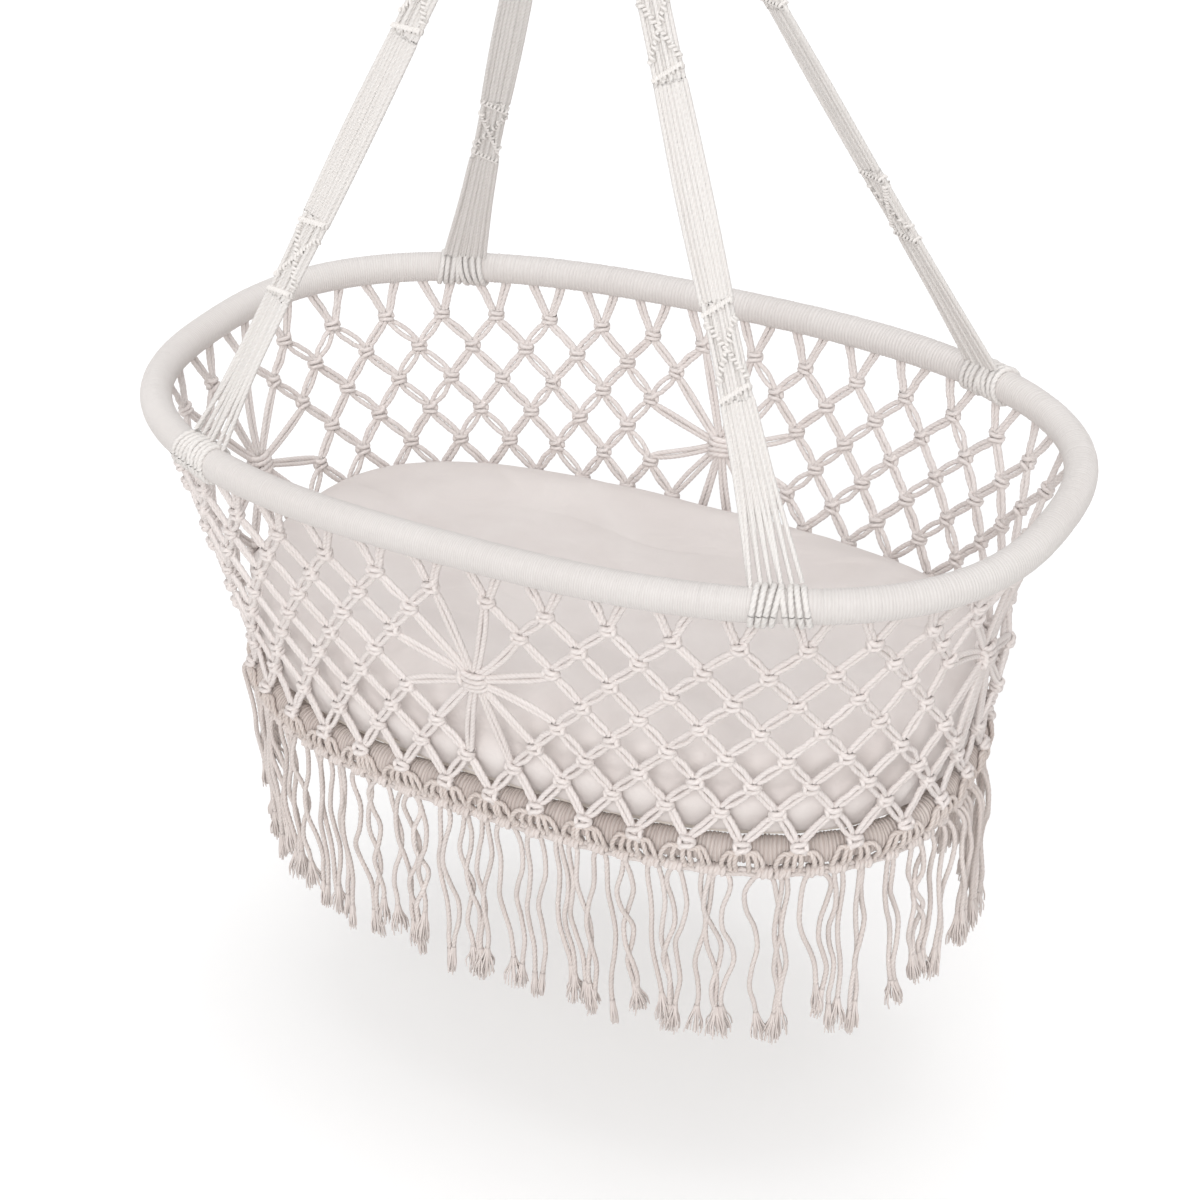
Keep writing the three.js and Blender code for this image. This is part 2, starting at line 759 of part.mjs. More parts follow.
function fringeStrand(place) {
  const frame = frameAt(baseOval, place / halfColumns, fringeBandZ - fringeBandHeight + fringeRoot);
  const shorter = (fringeLengthSpread * (1 + scatter(place * lengthSeedCount))) / 2;
  const reach = fringeRoot + fringeLength - shorter;
  const rings = fringeBendShares.map((share, k) => {
    const sideways = share ? fringeSway * scatter(place * swaySeedCount + k) : 0;
    const outwards = share ? (fringeSway / 2) * scatter(place * bulgeSeedCount + k) : 0;
    const middle = frame.middle
      .clone()
      .addScaledVector(frame.along, sideways)
      .addScaledVector(frame.out, outwards)
      .addScaledVector(up, -reach * share);
    return Array.from({ length: strandSides }, (_, n) => {
      const angle = (2 * Math.PI * n) / strandSides;
      return middle
        .clone()
        .addScaledVector(frame.along, fringeCordRadius * Math.cos(angle))
        .addScaledVector(frame.out, -fringeCordRadius * Math.sin(angle));
    });
  });
  return barThrough(rings);
}

function fringe(from, to) {
  let made = fringeBand(from, to);
  const pitch = 2 / strandsPerColumn;
  for (let place = from + pitch / 2; place < to; place += pitch) made = made.add(fringeStrand(place));
  return geometryOf(made);
}

netNames.forEach((side, k) => {
  const start = rosetteSpacing * k;
  const half = rosetteSpacing / 4;
  add("fringe_" + side, fringe(start - half, start + half), fringeFinish);
  add("fringe_" + turnNames[k], fringe(start + half, start + 3 * half), fringeFinish);
});

export default cradle;
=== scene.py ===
"""A hanging baby cradle, knotted from cotton cord. Sizes are in metres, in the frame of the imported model: up is +Z,
the long way is X, the front is -Y, and the origin is where an outside hook bears inside the top of the ring."""

import math

import bpy
import numpy as np
from mathutils import Matrix, Vector


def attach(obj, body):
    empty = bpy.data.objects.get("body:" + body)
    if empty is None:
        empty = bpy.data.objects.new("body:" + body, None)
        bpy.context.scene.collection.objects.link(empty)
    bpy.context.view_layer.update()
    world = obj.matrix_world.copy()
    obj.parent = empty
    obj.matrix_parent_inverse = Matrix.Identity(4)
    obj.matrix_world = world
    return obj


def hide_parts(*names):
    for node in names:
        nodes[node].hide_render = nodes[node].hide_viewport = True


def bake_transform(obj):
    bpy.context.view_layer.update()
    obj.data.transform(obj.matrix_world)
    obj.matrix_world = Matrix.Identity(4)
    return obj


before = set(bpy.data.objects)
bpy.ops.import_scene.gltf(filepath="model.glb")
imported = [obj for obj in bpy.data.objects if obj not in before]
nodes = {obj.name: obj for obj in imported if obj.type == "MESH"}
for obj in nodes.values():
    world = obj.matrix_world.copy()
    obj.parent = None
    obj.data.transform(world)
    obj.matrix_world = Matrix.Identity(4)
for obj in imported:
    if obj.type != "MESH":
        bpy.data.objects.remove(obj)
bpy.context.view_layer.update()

# The view. The cradle is seen from its front right and from above, with a long lens, so that its four straps
# leave the picture at the top.
eye_place = Vector((1.0042, -1.7771, 0.3263))
eye_aim = Vector((-0.42185, 0.74061, -0.52301)).normalized()
eye_roll = math.radians(1.65)


def stand(name, data):
    """A new object in the scene."""
    made = bpy.data.objects.new(name, data)
    bpy.context.scene.collection.objects.link(made)
    return made


level_right = eye_aim.cross(Vector((0, 0, 1))).normalized()
level_up = level_right.cross(eye_aim)
eye_right = math.cos(eye_roll) * level_right - math.sin(eye_roll) * level_up
eye_up = eye_right.cross(eye_aim)
eye = stand("view", bpy.data.cameras.new("view"))
eye.data.lens = 80.48
eye.data.sensor_width = 36
eye.data.clip_end = 60
eye.matrix_world = Matrix.Translation(eye_place) @ Matrix((eye_right, eye_up, -eye_aim)).transposed().to_4x4()
bpy.context.scene.camera = eye

# The room. A white studio floor a hand's breadth under the fringe, a pale sky all round, and two soft lamps, a
# wide one overhead and a smaller one at the front right. The floor shows white and keeps the cradle's soft shadow.
floor_level = -1.4
floor_reach = 14


class Painter:
    """Adds shader nodes to a tree. A socket's value is a number, a colour, an output or a node, by its first output."""

    def __init__(self, tree):
        self.tree = tree
        tree.nodes.clear()

    def add(self, kind, settings=None, **sockets):
        made = self.tree.nodes.new(kind if kind.startswith("NodeGroup") else "ShaderNode" + kind)
        for key, value in (settings or {}).items():
            setattr(made, key, value)
        for key, value in sockets.items():
            place = int(key[1:]) if key[0] == "_" else key.replace("_", " ")
            if isinstance(value, bpy.types.Node):
                value = value.outputs[0]
            if isinstance(value, bpy.types.NodeSocket):
                self.tree.links.new(value, made.inputs[place])
            else:
                made.inputs[place].default_value = value
        return made

    def math(self, operation, *values, clamp=False):
        sockets = {f"_{k}": value for k, value in enumerate(values)}
        return self.add("Math", {"operation": operation, "use_clamp": clamp}, **sockets)

    def spread(self, value, low, high, to_low, to_high):
        return self.add("MapRange", _0=value, _1=low, _2=high, _3=to_low, _4=to_high)

    def noise(self, place, scale, **sockets):
        return self.add("TexNoise", Vector=place, Scale=scale, **sockets)

    def mixed(self, share, first, second):
        return self.add("Mix", {"data_type": "RGBA"}, Factor=share, _6=first, _7=second).outputs[2]

    def bump(self, strength, depth, height):
        return self.add("Bump", Strength=strength, Distance=depth, Height=height)

    def coat(self, **sockets):
        self.add("OutputMaterial", Surface=self.add("BsdfPrincipled", **sockets))

    def looked_at(self):
        """1 where the eye looks straight, in a mirror or through glass, and 0 for the light that is passed on."""
        ray = self.add("LightPath").outputs
        straight = self.math("ADD", ray["Is Camera Ray"], ray["Is Glossy Ray"], clamp=True)
        return self.math("ADD", straight, ray["Is Transmission Ray"], clamp=True)


def new_material(name):
    """A material and the painter of its nodes."""
    made = bpy.data.materials.new(name)
    made.use_nodes = True
    return made, Painter(made.node_tree)


floor_paint, paint = new_material("studio floor")
bounce = paint.add("BsdfDiffuse", Color=(0.8, 0.79, 0.78, 1))
shown = paint.add("BsdfDiffuse", Color=(0.8, 0.805, 0.81, 1))
glow = paint.add("Emission", Color=(1, 1, 1, 1), Strength=0.24)
white = paint.add("AddShader", _0=shown, _1=glow)
paint.add("OutputMaterial", Surface=paint.add("MixShader", _0=paint.looked_at(), _1=bounce, _2=white))

floor_mesh = bpy.data.meshes.new("floor")
floor_corners = [(x * floor_reach, y * floor_reach, floor_level) for x, y in ((-1, -1), (1, -1), (1, 1), (-1, 1))]
floor_mesh.from_pydata(floor_corners, [], [(0, 1, 2, 3)])
floor_mesh.materials.append(floor_paint)
stand("floor", floor_mesh)

sky = bpy.data.worlds.new("sky")
bpy.context.scene.world = sky
sky.use_nodes = True
paint = Painter(sky.node_tree)
lit = paint.add("Background", Color=(1, 0.985, 0.98, 1), Strength=0.64)
plain = paint.add("Background", Color=(1, 1, 1, 1), Strength=1)
paint.add("OutputWorld", Surface=paint.add("MixShader", _0=paint.looked_at(), _1=lit, _2=plain))

# name, where it shines from, its width in degrees, which sets how soft its shadows are, and its strength
for name, comes_from, width, strength in (
    ("overhead lamp", (0.06, 0.02, 1), 44, 0.8),
    ("front lamp", (0.35, -1.0, 0.58), 47, 1.4),
):
    lamp = bpy.data.lights.new(name, "SUN")
    lamp.angle = math.radians(width)
    lamp.energy = strength
    stand(name, lamp).rotation_euler = Vector(comes_from).to_track_quat("Z", "Y").to_euler()
bpy.context.scene.view_settings.view_transform = "Standard"

# Fringe. Every cord end of the net hangs under the base hoop: 160 ends of soft three-ply cotton. Two by two they are
# hitched round a doubled cord that runs along under the hoop, and they hang in loose waves, frayed at the tips.
rng = np.random.default_rng(11)
upward = np.array([0, 0, 1])
cord_thickness = 0.005
cord_lead = 0.0145  # one full turn of the three plies
hitch_lead = 0.02  # the same where a cord is tied in a hitch
columns = 40
half_columns = 2 * columns
pairs = half_columns  # of cord ends
cord_ends = 2 * pairs
free_cords = 40  # the longest ends, which are cords by themselves
base_half_length, base_half_width, base_roundness = 0.334, 0.2, 2.6
base_level = -1.014
base_wrap_radius = 0.013
header_level = base_level - 0.0188
header_out = 0.0055  # how far outside the hoop's line the header lies
header_cord = 0.0052
header_hitch_radius, header_hitch_pitch = 0.0043, 0.0068
pair_half_gap = 0.0031  # from the middle of a pair's hitches to each of the two
fringe_drop = 0.17
fringe_spread = 0.036
fringe_rings = 76
yarns = 22
yarn_thickness = 0.0016
yarn_rings = 8
fray_length = 0.025


def oval_line(half_length, half_width, roundness):
    """A rounded oval, as a function of a share of its length, from the front's middle by way of the right end."""
    turn = np.linspace(0, 2 * np.pi, 2881)
    bend = lambda value: np.sign(value) * np.abs(value) ** (2 / roundness)
    points = np.stack([half_length * bend(np.sin(turn)), -half_width * bend(np.cos(turn))], 1)
    run = np.r_[0, np.cumsum(np.linalg.norm(np.diff(points, axis=0), axis=1))]

    def at(share, level=0.0):
        place = (np.asarray(share, float) % 1) * run[-1]
        x, y = np.interp(place, run, points[:, 0]), np.interp(place, run, points[:, 1])
        return np.stack([x, y, np.zeros_like(x) + level], -1)

    return at, run[-1]


def unit(vectors):
    return vectors / np.linalg.norm(vectors, axis=-1, keepdims=True)


def hoop_axes(at, share):
    """The direction along a hoop and the level direction outwards."""
    along = unit(at(np.asarray(share) + 0.0006) - at(np.asarray(share) - 0.0006))
    return along, np.cross(along, upward)


def turned(angle, first, second):
    """The direction that lies an angle on from the first one, towards the second."""
    return np.cos(angle)[..., None] * first + np.sin(angle)[..., None] * second


def run_along(lines):
    """How far along its line (lines, points, 3) each point lies."""
    steps = np.linalg.norm(np.diff(lines, axis=1), axis=2)
    return np.concatenate([np.zeros((len(lines), 1)), np.cumsum(steps, 1)], 1)


def even_lines(knots, rings):
    """Smooth lines through points (lines, points, 3), laid out again at even steps (lines, rings, 3)."""
    knots = np.asarray(knots, float)
    ends = [2 * knots[:, :1] - knots[:, 1:2], knots, 2 * knots[:, -1:] - knots[:, -2:-1]]
    knots = np.concatenate(ends, 1)
    p, q, r, s = (knots[:, k : knots.shape[1] - 3 + k, None] for k in range(4))
    t = (np.arange(9) / 9)[None, None, :, None]
    curve = 0.5 * (2 * q + (r - p) * t + (2 * p - 5 * q + 4 * r - s) * t**2 + (3 * q - p - 3 * r + s) * t**3)
    curve = np.concatenate([curve.reshape(len(knots), -1, 3), knots[:, -2:-1]], 1)
    out = np.empty((len(curve), rings, 3))
    for k, run in enumerate(run_along(curve)):
        for axis in range(3):
            out[k, :, axis] = np.interp(np.linspace(0, run[-1], rings), run, curve[k, :, axis])
    return out


def spin_cords(lines, thickness, sides=9, groove=0.13, lead=cord_lead, thin=1):
    """Three-ply cords laid along lines (cords, rings, 3). The corners turn with the plies."""
    along = unit(np.gradient(lines, axis=1))
    run = run_along(lines)
    sideways = np.empty_like(lines)
    start = np.cross(along[:, 0], [0.37, 0.61, 0.7])
    for k in range(lines.shape[1]):
        start = unit(start - (start * along[:, k]).sum(1, keepdims=True) * along[:, k])
        sideways[:, k] = start
    other = np.cross(along, sideways)
    corner = np.arange(sides) / sides
    angle = 2 * np.pi * (corner[None, None] + run[..., None] / lead + rng.random((len(lines), 1, 1)))
    reach = thickness / 2 * (1 - groove * (0.5 - 0.5 * np.cos(6 * np.pi * corner)))[None, None]
    reach = np.broadcast_to(reach * np.reshape(thin, (1, -1, 1)), angle.shape)[..., None]
    points = lines[:, :, None] + reach * turned(angle, sideways[:, :, None], other[:, :, None])
    return {"points": points, "run": run, "tone": rng.random(len(lines))}


def cords_through(knots, rings, thickness, **lay):
    """Cords along smooth lines through points (lines, points, 3)."""
    return spin_cords(even_lines(knots, rings), thickness, **lay)


def cord_parts(blocks):
    """The points, faces, lay coordinates and tones of all the cords in blocks, as one mesh needs them."""
    parts, first = [(np.empty((0, 3)), np.empty((0, 4), int), np.empty((0, 2)), np.empty(0))], 0
    for block in blocks:
        points, run = block["points"], block["run"]
        cords, rings, sides = points.shape[:3]
        index = first + np.arange(cords * rings * sides).reshape(cords, rings, sides)
        after = np.roll(index, -1, axis=2)
        quads = np.stack([index[:, :-1], after[:, :-1], after[:, 1:], index[:, 1:]], -1).reshape(-1, 4)
        u = np.broadcast_to(np.arange(sides)[None, None] / sides, (cords, rings - 1, sides))
        v = u + 1 / sides
        low, high = (np.broadcast_to(place[..., None], u.shape) for place in (run[:, :-1], run[:, 1:]))
        lays = np.stack([u, low, v, low, v, high, u, high], -1).reshape(-1, 2)
        parts.append((points.reshape(-1, 3), quads, lays, np.repeat(block["tone"], rings * sides)))
        first += points.size // 3
    return [np.concatenate(part) for part in zip(*parts)]


def place_piece(name, parts, material, body, slot, *replaced, bends=None):
    """Makes a piece and hangs it on its body, with its material and the solids that it stands for. One that bends is
    given (a second body, where it still follows it fully, where it follows its own body fully), but only whether it is
    given
    is read: such a piece is hung on no body, and its place is put into its points."""
    points, quads, lays, tones = parts
    mesh = bpy.data.meshes.new(name)
    mesh.vertices.add(len(points))
    mesh.vertices.foreach_set("co", points.astype(np.float32).ravel())
    mesh.loops.add(quads.size)
    mesh.loops.foreach_set("vertex_index", quads.astype(np.int32).ravel())
    mesh.polygons.add(len(quads))
    mesh.polygons.foreach_set("loop_start", np.arange(0, quads.size, 4, dtype=np.int32))
    mesh.polygons.foreach_set("use_smooth", np.ones(len(quads), bool))
    mesh.uv_layers.new(name="lay").data.foreach_set("uv", lays.astype(np.float32).ravel())
    mesh.attributes.new("tone", "FLOAT", "POINT").data.foreach_set("value", tones.astype(np.float32))
    mesh.update(calc_edges=True)
    mesh.materials.append(material)
    piece = stand(name, mesh)
    if bends:
        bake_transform(piece)
    else:
        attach(piece, body)
    if replaced:
        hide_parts(*replaced)
    return piece


def cotton_group():
    """Cotton yarn: the fibres that run along a ply, painted shade in the creases between plies, and a slow change of
    tone.
    """
    tree = bpy.data.node_groups.new("cotton yarn", "ShaderNodeTree")
    inputs = ["Colour", "Shade", "Crease", "Plies", "Fibres round", "Fibres along", "Tone change"]
    for way, names in (("INPUT", inputs), ("OUTPUT", ["Colour", "Roughness", "Height"])):
        for name in names:
            kind = "Color" if name in ("Colour", "Shade") else "Float"
            tree.interface.new_socket(name, in_out=way, socket_type="NodeSocket" + kind)
    paint = Painter(tree)
    given = paint.add("NodeGroupInput").outputs
    lay = paint.add("SeparateXYZ", _0=paint.add("UVMap", {"uv_map": "lay"})).outputs
    round_ply = paint.math("MULTIPLY", lay[0], given["Plies"])
    crest = paint.math("COSINE", paint.math("MULTIPLY", round_ply, 2 * math.pi))
    # Painted shade: the creases between the plies, or between the turns of a wound cord, are darkened towards the shade
    # colour.
    crease = paint.spread(crest, 0.1, -0.95, 0.0, 1.0)
    tone = paint.add("Attribute", {"attribute_name": "tone"}).outputs["Fac"]
    across = paint.math("MULTIPLY", lay[0], given["Fibres round"])
    along = paint.math("MULTIPLY", lay[1], given["Fibres along"])
    place = paint.add("CombineXYZ", _0=across, _1=along, _2=paint.math("MULTIPLY", tone, 57.0))
    fibre = paint.noise(place, 1.0, Detail=4.0, Roughness=0.62)
    slow = paint.noise(paint.add("TexCoord").outputs["Object"], 9.0, Detail=3.0, Roughness=0.55)
    slow = paint.spread(slow, 0.35, 0.65, 0.0, 1.0)
    worn = paint.add("Mix", {"data_type": "FLOAT"}, Factor=0.5, _2=slow, _3=tone)
    worn = paint.math("MULTIPLY", worn, given["Tone change"])
    # How far each spot goes to the shade colour: the painted shade in the creases, the random change of tone and the
    # darker fibres.
    dark = paint.math("ADD", paint.math("MULTIPLY", crease, given["Crease"]), worn)
    dark = paint.math("ADD", dark, paint.spread(fibre, 0.55, 0.3, 0.0, 0.3), clamp=True)
    colour = paint.mixed(dark, given["Colour"], given["Shade"])
    rough = paint.spread(fibre, 0.3, 0.7, 0.97, 0.82)
    height = paint.math("MULTIPLY_ADD", crest, 0.25, paint.math("MULTIPLY", fibre, 0.75))
    paint.add("NodeGroupOutput", Colour=colour, Roughness=rough, Height=height)
    return tree


cotton_yarn = cotton_group()


def cotton_cord(name, colour, shade, crease, depth, change=0.25, plies=3.0, fibres=(26.0, 320.0)):
    """A matt cotton material. Colour and shade are as the eye sees them, from 0 to 1. The number after the shade sets
    how much painted shade darkens the creases between plies, or between the turns of a winding.
    """
    made, paint = new_material(name)
    plain = lambda tint: tuple(((v + 0.055) / 1.055) ** 2.4 for v in tint) + (1,)
    yarn = paint.add(
        "Group",
        {"node_tree": cotton_yarn},
        Colour=plain(colour),
        Shade=plain(shade),
        Crease=crease,
        Plies=plies,
        Fibres_round=fibres[0],
        Fibres_along=fibres[1],
        Tone_change=change,
    ).outputs
    paint.coat(
        Base_Color=yarn["Colour"],
        Roughness=yarn["Roughness"],
        Normal=paint.bump(0.75, depth, yarn["Height"]),
        Specular_IOR_Level=0.18,
        Sheen_Weight=0.18,
        Sheen_Roughness=0.5,
    )
    return made


# The fringe is the net's own cord, but its colour and shade are darker than the net's: painted shade, because the
# fringe hangs low under the cradle and faces down.
fringe_cotton = cotton_cord("fringe cotton", (0.93, 0.9, 0.885), (0.81, 0.76, 0.735), 0.22, 0.0005, 0.4)
base_at, base_run = oval_line(base_half_length, base_half_width, base_roundness)
fringe_groups = ["front", "front_right", "right", "right_back", "back", "back_left", "left", "left_front"]
end_places = (np.arange(cord_ends) + 0.5) / cord_ends  # a share of the hoop for each cord end, two to a pair
pair_of = np.arange(cord_ends) // 2
end_side = np.where(np.arange(cord_ends) % 2, 1, -1)
pair_middle = (np.arange(pairs) + 0.5 + rng.normal(0, 0.2, pairs).clip(-0.35, 0.35)) / pairs


def fringe_lines():
    """The hanging lines. Some pairs arch out from their hitch, others fall together or to one side."""
    share = pair_middle[pair_of] + rng.normal(0, 0.0006, cord_ends)
    along, out = hoop_axes(base_at, share)
    kind = rng.random(pairs)[pair_of]
    wide_arch = rng.uniform(0.0058, 0.0098, cord_ends) + 0.004 * (kind < 0.25)
    low_arch = np.where(kind < 0.85, 0.0026, rng.uniform(0.003, 0.007, cord_ends))
    arch = np.where(kind < 0.55, wide_arch, low_arch)
    aside = rng.choice([-1, 1], pairs)[pair_of] * 0.009
    drift = np.where(kind > 0.85, aside, rng.normal(0, 0.0035, pairs)[pair_of])
    meet = np.where(rng.random(pairs) < 0.8, 0.0028, 0.008)[pair_of]
    drop = fringe_drop - fringe_spread * rng.random(pairs)[pair_of] ** 1.3 - rng.uniform(0, 0.012, cord_ends)
    wave = rng.uniform(1.0, 1.9, cord_ends)
    phase = rng.uniform(0, 2 * np.pi, cord_ends)
    swing = rng.uniform(0.003, 0.0074, cord_ends)
    bunch = np.exp(-(((share - 0.745) / 0.05) ** 4))  # at the two ends the cords stick out and bow down
    pushed = rng.uniform(0.018, 0.044, pairs)[pair_of]
    right_end = np.exp(-(((share - 0.255) / 0.04) ** 4))
    drop = drop * (1 - 0.2 * bunch - 0.08 * right_end)
    lines = []
    for t in (0, 0.028, 0.075, 0.15, 0.27, 0.4, 0.53, 0.66, 0.79, 0.9, 1):
        rounded = math.sin(0.5 * math.pi * min(1, t / 0.15)) ** 0.8
        rounded_root = rounded * (1 - t)
        spread = (0.002 + (arch - 0.002) * rounded) * (1 - t**1.6) + meet * t**1.6
        hang = math.sin(math.pi * min(1, t * 1.03)) ** 0.75
        lateral = end_side * spread + drift * t**1.5 + hang * swing * np.sin(2 * np.pi * wave * t + phase)
        depth = header_out - 0.001 + hang * 0.6 * swing * np.cos(2 * np.pi * wave * t + phase * 1.7)
        depth = depth + 0.0025 * rounded_root + (bunch * (1 - 0.3 * t) + right_end * 0.3) * pushed * rounded
        line = base_at(share, header_level - 0.001) + along * lateral[:, None] + out * depth[:, None]
        line[:, 2] -= drop * t - 0.003 * rounded_root * (arch > 0.005) - bunch * pushed * 0.4 * rounded_root * (1 - t)
        lines.append(line)
    return even_lines(np.stack(lines, 1), fringe_rings)


fringe_ends = fringe_lines()
longest = np.sort(np.argsort(fringe_ends[:, -1, 2])[:free_cords])
brush_reach = rng.uniform(0.005, 0.011, cord_ends)  # how far a tip's yarns spread
brush_reach[longest] = 0.0037


def frayed(lines, widest):
    """Loose yarns at the tip of each cord, fanned out and curled."""
    tip, back = lines[:, -1], unit(lines[:, -1] - lines[:, -6])
    sideways = unit(np.cross(back, [0.2, 0.9, 0.1]))
    other = np.cross(back, sideways)
    made = []
    for yarn in range(yarns):
        turn = 2 * np.pi * (yarn / yarns + rng.uniform(-0.05, 0.05, len(lines)))
        outward = turned(turn, sideways, other)
        length = fray_length * rng.uniform(0.78, 1.0, len(lines))[:, None]
        reach = (widest * np.sqrt(rng.uniform(0.03, 1, len(lines))))[:, None]
        curl = rng.uniform(-0.0005, 0.0005, (len(lines), 3))
        knots = [
            tip - back * 0.005 + outward * 0.0015,
            tip + back * length * 0.2 + outward * (0.0012 + reach * 0.3),
            tip + back * length * 0.6 + outward * (0.0004 + reach * 0.85) + curl,
            tip + back * length + outward * reach - curl,
        ]
        made.append(np.stack(knots, 1))
    thin = np.linspace(1.25, 0.7, yarn_rings)
    block = cords_through(np.concatenate(made), yarn_rings, yarn_thickness, sides=4, groove=0, lead=1.0, thin=thin)
    block["tone"] = block["tone"] * 0.6
    return block


def picked(block, which):
    return {key: values[which] for key, values in block.items()}


def hitches(at_line, along, around, up_way, radius, pitch, turns=2):
    """Double half hitches: short coils round a carrying cord. Returns their lines."""
    angle = np.linspace(-0.35, 2 * np.pi * turns - 2.4, 12 * turns)
    shift = (angle / angle[-1] - 0.5) * pitch * 0.92
    middle = at_line[:, None] + along[:, None] * shift[None, :, None]
    return middle + radius * turned(angle, around[:, None], up_way[:, None])


strand_thin = np.ones(fringe_rings)
strand_thin[-5:] = (1.0, 0.98, 0.94, 0.86, 0.7)
strands = spin_cords(fringe_ends, cord_thickness, thin=strand_thin)
frays = frayed(fringe_ends, brush_reach)
along, out = hoop_axes(base_at, pair_middle[pair_of])
hitch_middle = base_at(pair_middle[pair_of], header_level) + out * header_out
hitch_middle += along * end_side[:, None] * pair_half_gap + rng.normal(0, 0.0006, (cord_ends, 3))
upright = np.broadcast_to(upward, out.shape)
hitch_lines = hitches(hitch_middle, along, out, upright, header_hitch_radius, header_hitch_pitch)
hitch_block = spin_cords(hitch_lines, header_cord, sides=8, lead=hitch_lead)
yarns_of = lambda ends: (np.arange(yarns)[:, None] * cord_ends + ends).ravel()
for k, which in enumerate(longest):
    parts = cord_parts([picked(strands, [which]), picked(frays, yarns_of(which))])
    piece = place_piece(f"fringe_cord_{k + 1:02d}", parts, fringe_cotton, "cradle", "fringe_cord")
others = np.setdiff1d(np.arange(cord_ends), longest)
for k, group in enumerate(fringe_groups):
    mine = lambda places: np.floor((places * 8 + 0.5) % 8).astype(int) == k
    ends = others[mine(end_places[others])]
    share = (k - 0.5) / 8 + np.linspace(0, 1, 121) / 8
    swag = 0.0011 * np.abs(np.sin(np.pi * share * pairs))[:, None] * upward
    core = base_at(share, header_level) + hoop_axes(base_at, share)[1] * header_out - swag
    blocks = [
        picked(strands, ends),
        picked(frays, yarns_of(ends)),
        picked(hitch_block, mine(end_places)),
        spin_cords(np.stack([core + upward * 0.0023, core - upward * 0.0023]), header_cord, sides=8),
    ]
    place_piece("fringe_ends_" + group, cord_parts(blocks), fringe_cotton, "cradle", "fringe_cord", "fringe_" + group)

# Hanging ring. A welded and zinc-plated ring of round steel bar, bought in, that stands on edge under its hook.
steel_ring_inner = 0.03
steel_ring_bar = 0.004
steel_ring_middle = steel_ring_inner + steel_ring_bar


def steel(name, colour, roughness):
    """Zinc-plated steel with fine drawn lines and a few dull spots."""
    made, paint = new_material(name)
    body = paint.add("TexCoord").outputs["Object"]
    lines = paint.noise(paint.add("Mapping", Vector=body, Scale=(900, 900, 60)), 1.0, Detail=3.0)
    spots = paint.spread(paint.noise(body, 140.0, Detail=4.0), 0.4, 0.7, 0.0, 0.35)
    shade = paint.mixed(spots, colour + (1,), (0.36, 0.37, 0.38, 1))
    rough = paint.spread(lines, 0.3, 0.7, roughness - 0.07, roughness + 0.1)
    paint.coat(Base_Color=shade, Metallic=1.0, Roughness=rough, Normal=paint.bump(0.25, 0.0001, lines))
    return made


zinc = steel("zinc-plated steel", (0.62, 0.63, 0.65), 0.3)
turn = np.linspace(0, 2 * np.pi, 121)[:-1]
outward = np.stack([np.sin(turn), 0 * turn, np.cos(turn)], 1)
weld = 1 + 0.12 * np.exp(-(((turn - np.pi / 2) / 0.05) ** 2))
section = turned(2 * np.pi * np.arange(20) / 20, outward[:, None], np.array([0, 1, 0]))
ring_middle = steel_ring_middle * outward - upward * steel_ring_inner
ring_points = ring_middle[:, None] + steel_ring_bar * weld[:, None, None] * section
ring_points = np.concatenate([ring_points, ring_points[:1]])[None]
ring_block = {"points": ring_points, "run": np.linspace(0, 0.21, 121)[None], "tone": np.zeros(1)}
place_piece("steel_ring", cord_parts([ring_block]), zinc, "ring", "steel", "hang_ring")

# Crown. The strap cords are looped over the ring side by side and whipped together below it with a tight winding
# of the same cord, out of which they spread to the four straps.
strap_cotton = cotton_cord("strap cotton", (0.95, 0.94, 0.93), (0.86, 0.835, 0.815), 0.22, 0.0005, 0.2)
bar_level = -(2 * steel_ring_inner + steel_ring_bar)
mouth_level = bar_level - 0.056
mouth = upward * mouth_level
crown_loops = 6
crown_loop_step = 0.0049  # along the ring's bar
crown_loop_half_depth = 0.0079
crown_loop_thickness = 0.0052
whipping_turns = 11.5
whipping_length = 0.0495
whipping_thickness = 0.0044
filling_cords = 12
filling_thickness = 0.0064
loop_lines = []
for k in range(crown_loops):
    x = (k - (crown_loops - 1) / 2) * crown_loop_step
    top = 0.0072 + steel_ring_middle - math.sqrt(steel_ring_middle**2 - x * x)
    back = [(x * 0.7, 0.006, -0.03), (x * 0.85, 0.0085, -0.014), (x, crown_loop_half_depth, -0.004)]
    back.append((x, crown_loop_half_depth * 0.8, top * 0.72))
    loop_lines.append(back + [(x, 0, top)] + [(x, -y, z) for x, y, z in back[::-1]])
wind = np.linspace(0, 1, 560)
wind_turn = wind * 2 * np.pi * whipping_turns
wind_radius = 0.0150 + 0.0006 * np.sin(wind_turn * 0.31) - 0.002 * (wind < 0.02)
wind_level = bar_level - 0.012 - wind * whipping_length
whipping = np.stack([wind_radius * np.cos(wind_turn), wind_radius * np.sin(wind_turn), wind_level], 1)[None]
filling_lines = []
for k in range(filling_cords):
    spot = 2 * np.pi * (k + 0.5) / filling_cords
    x, y = 0.0105 * math.cos(spot), 0.0105 * math.sin(spot)
    filling_lines.append([(x, y, bar_level - 0.009 - 0.052 * t) for t in (0, 0.3, 0.7, 1)])
crown_blocks = [
    cords_through(np.array(loop_lines) + upward * bar_level, 44, crown_loop_thickness),
    spin_cords(whipping, whipping_thickness),
    cords_through(filling_lines, 24, filling_thickness),
]
place_piece("crown_cords", cord_parts(crown_blocks), strap_cotton, "crown", "strap_cord", "strap_crown")

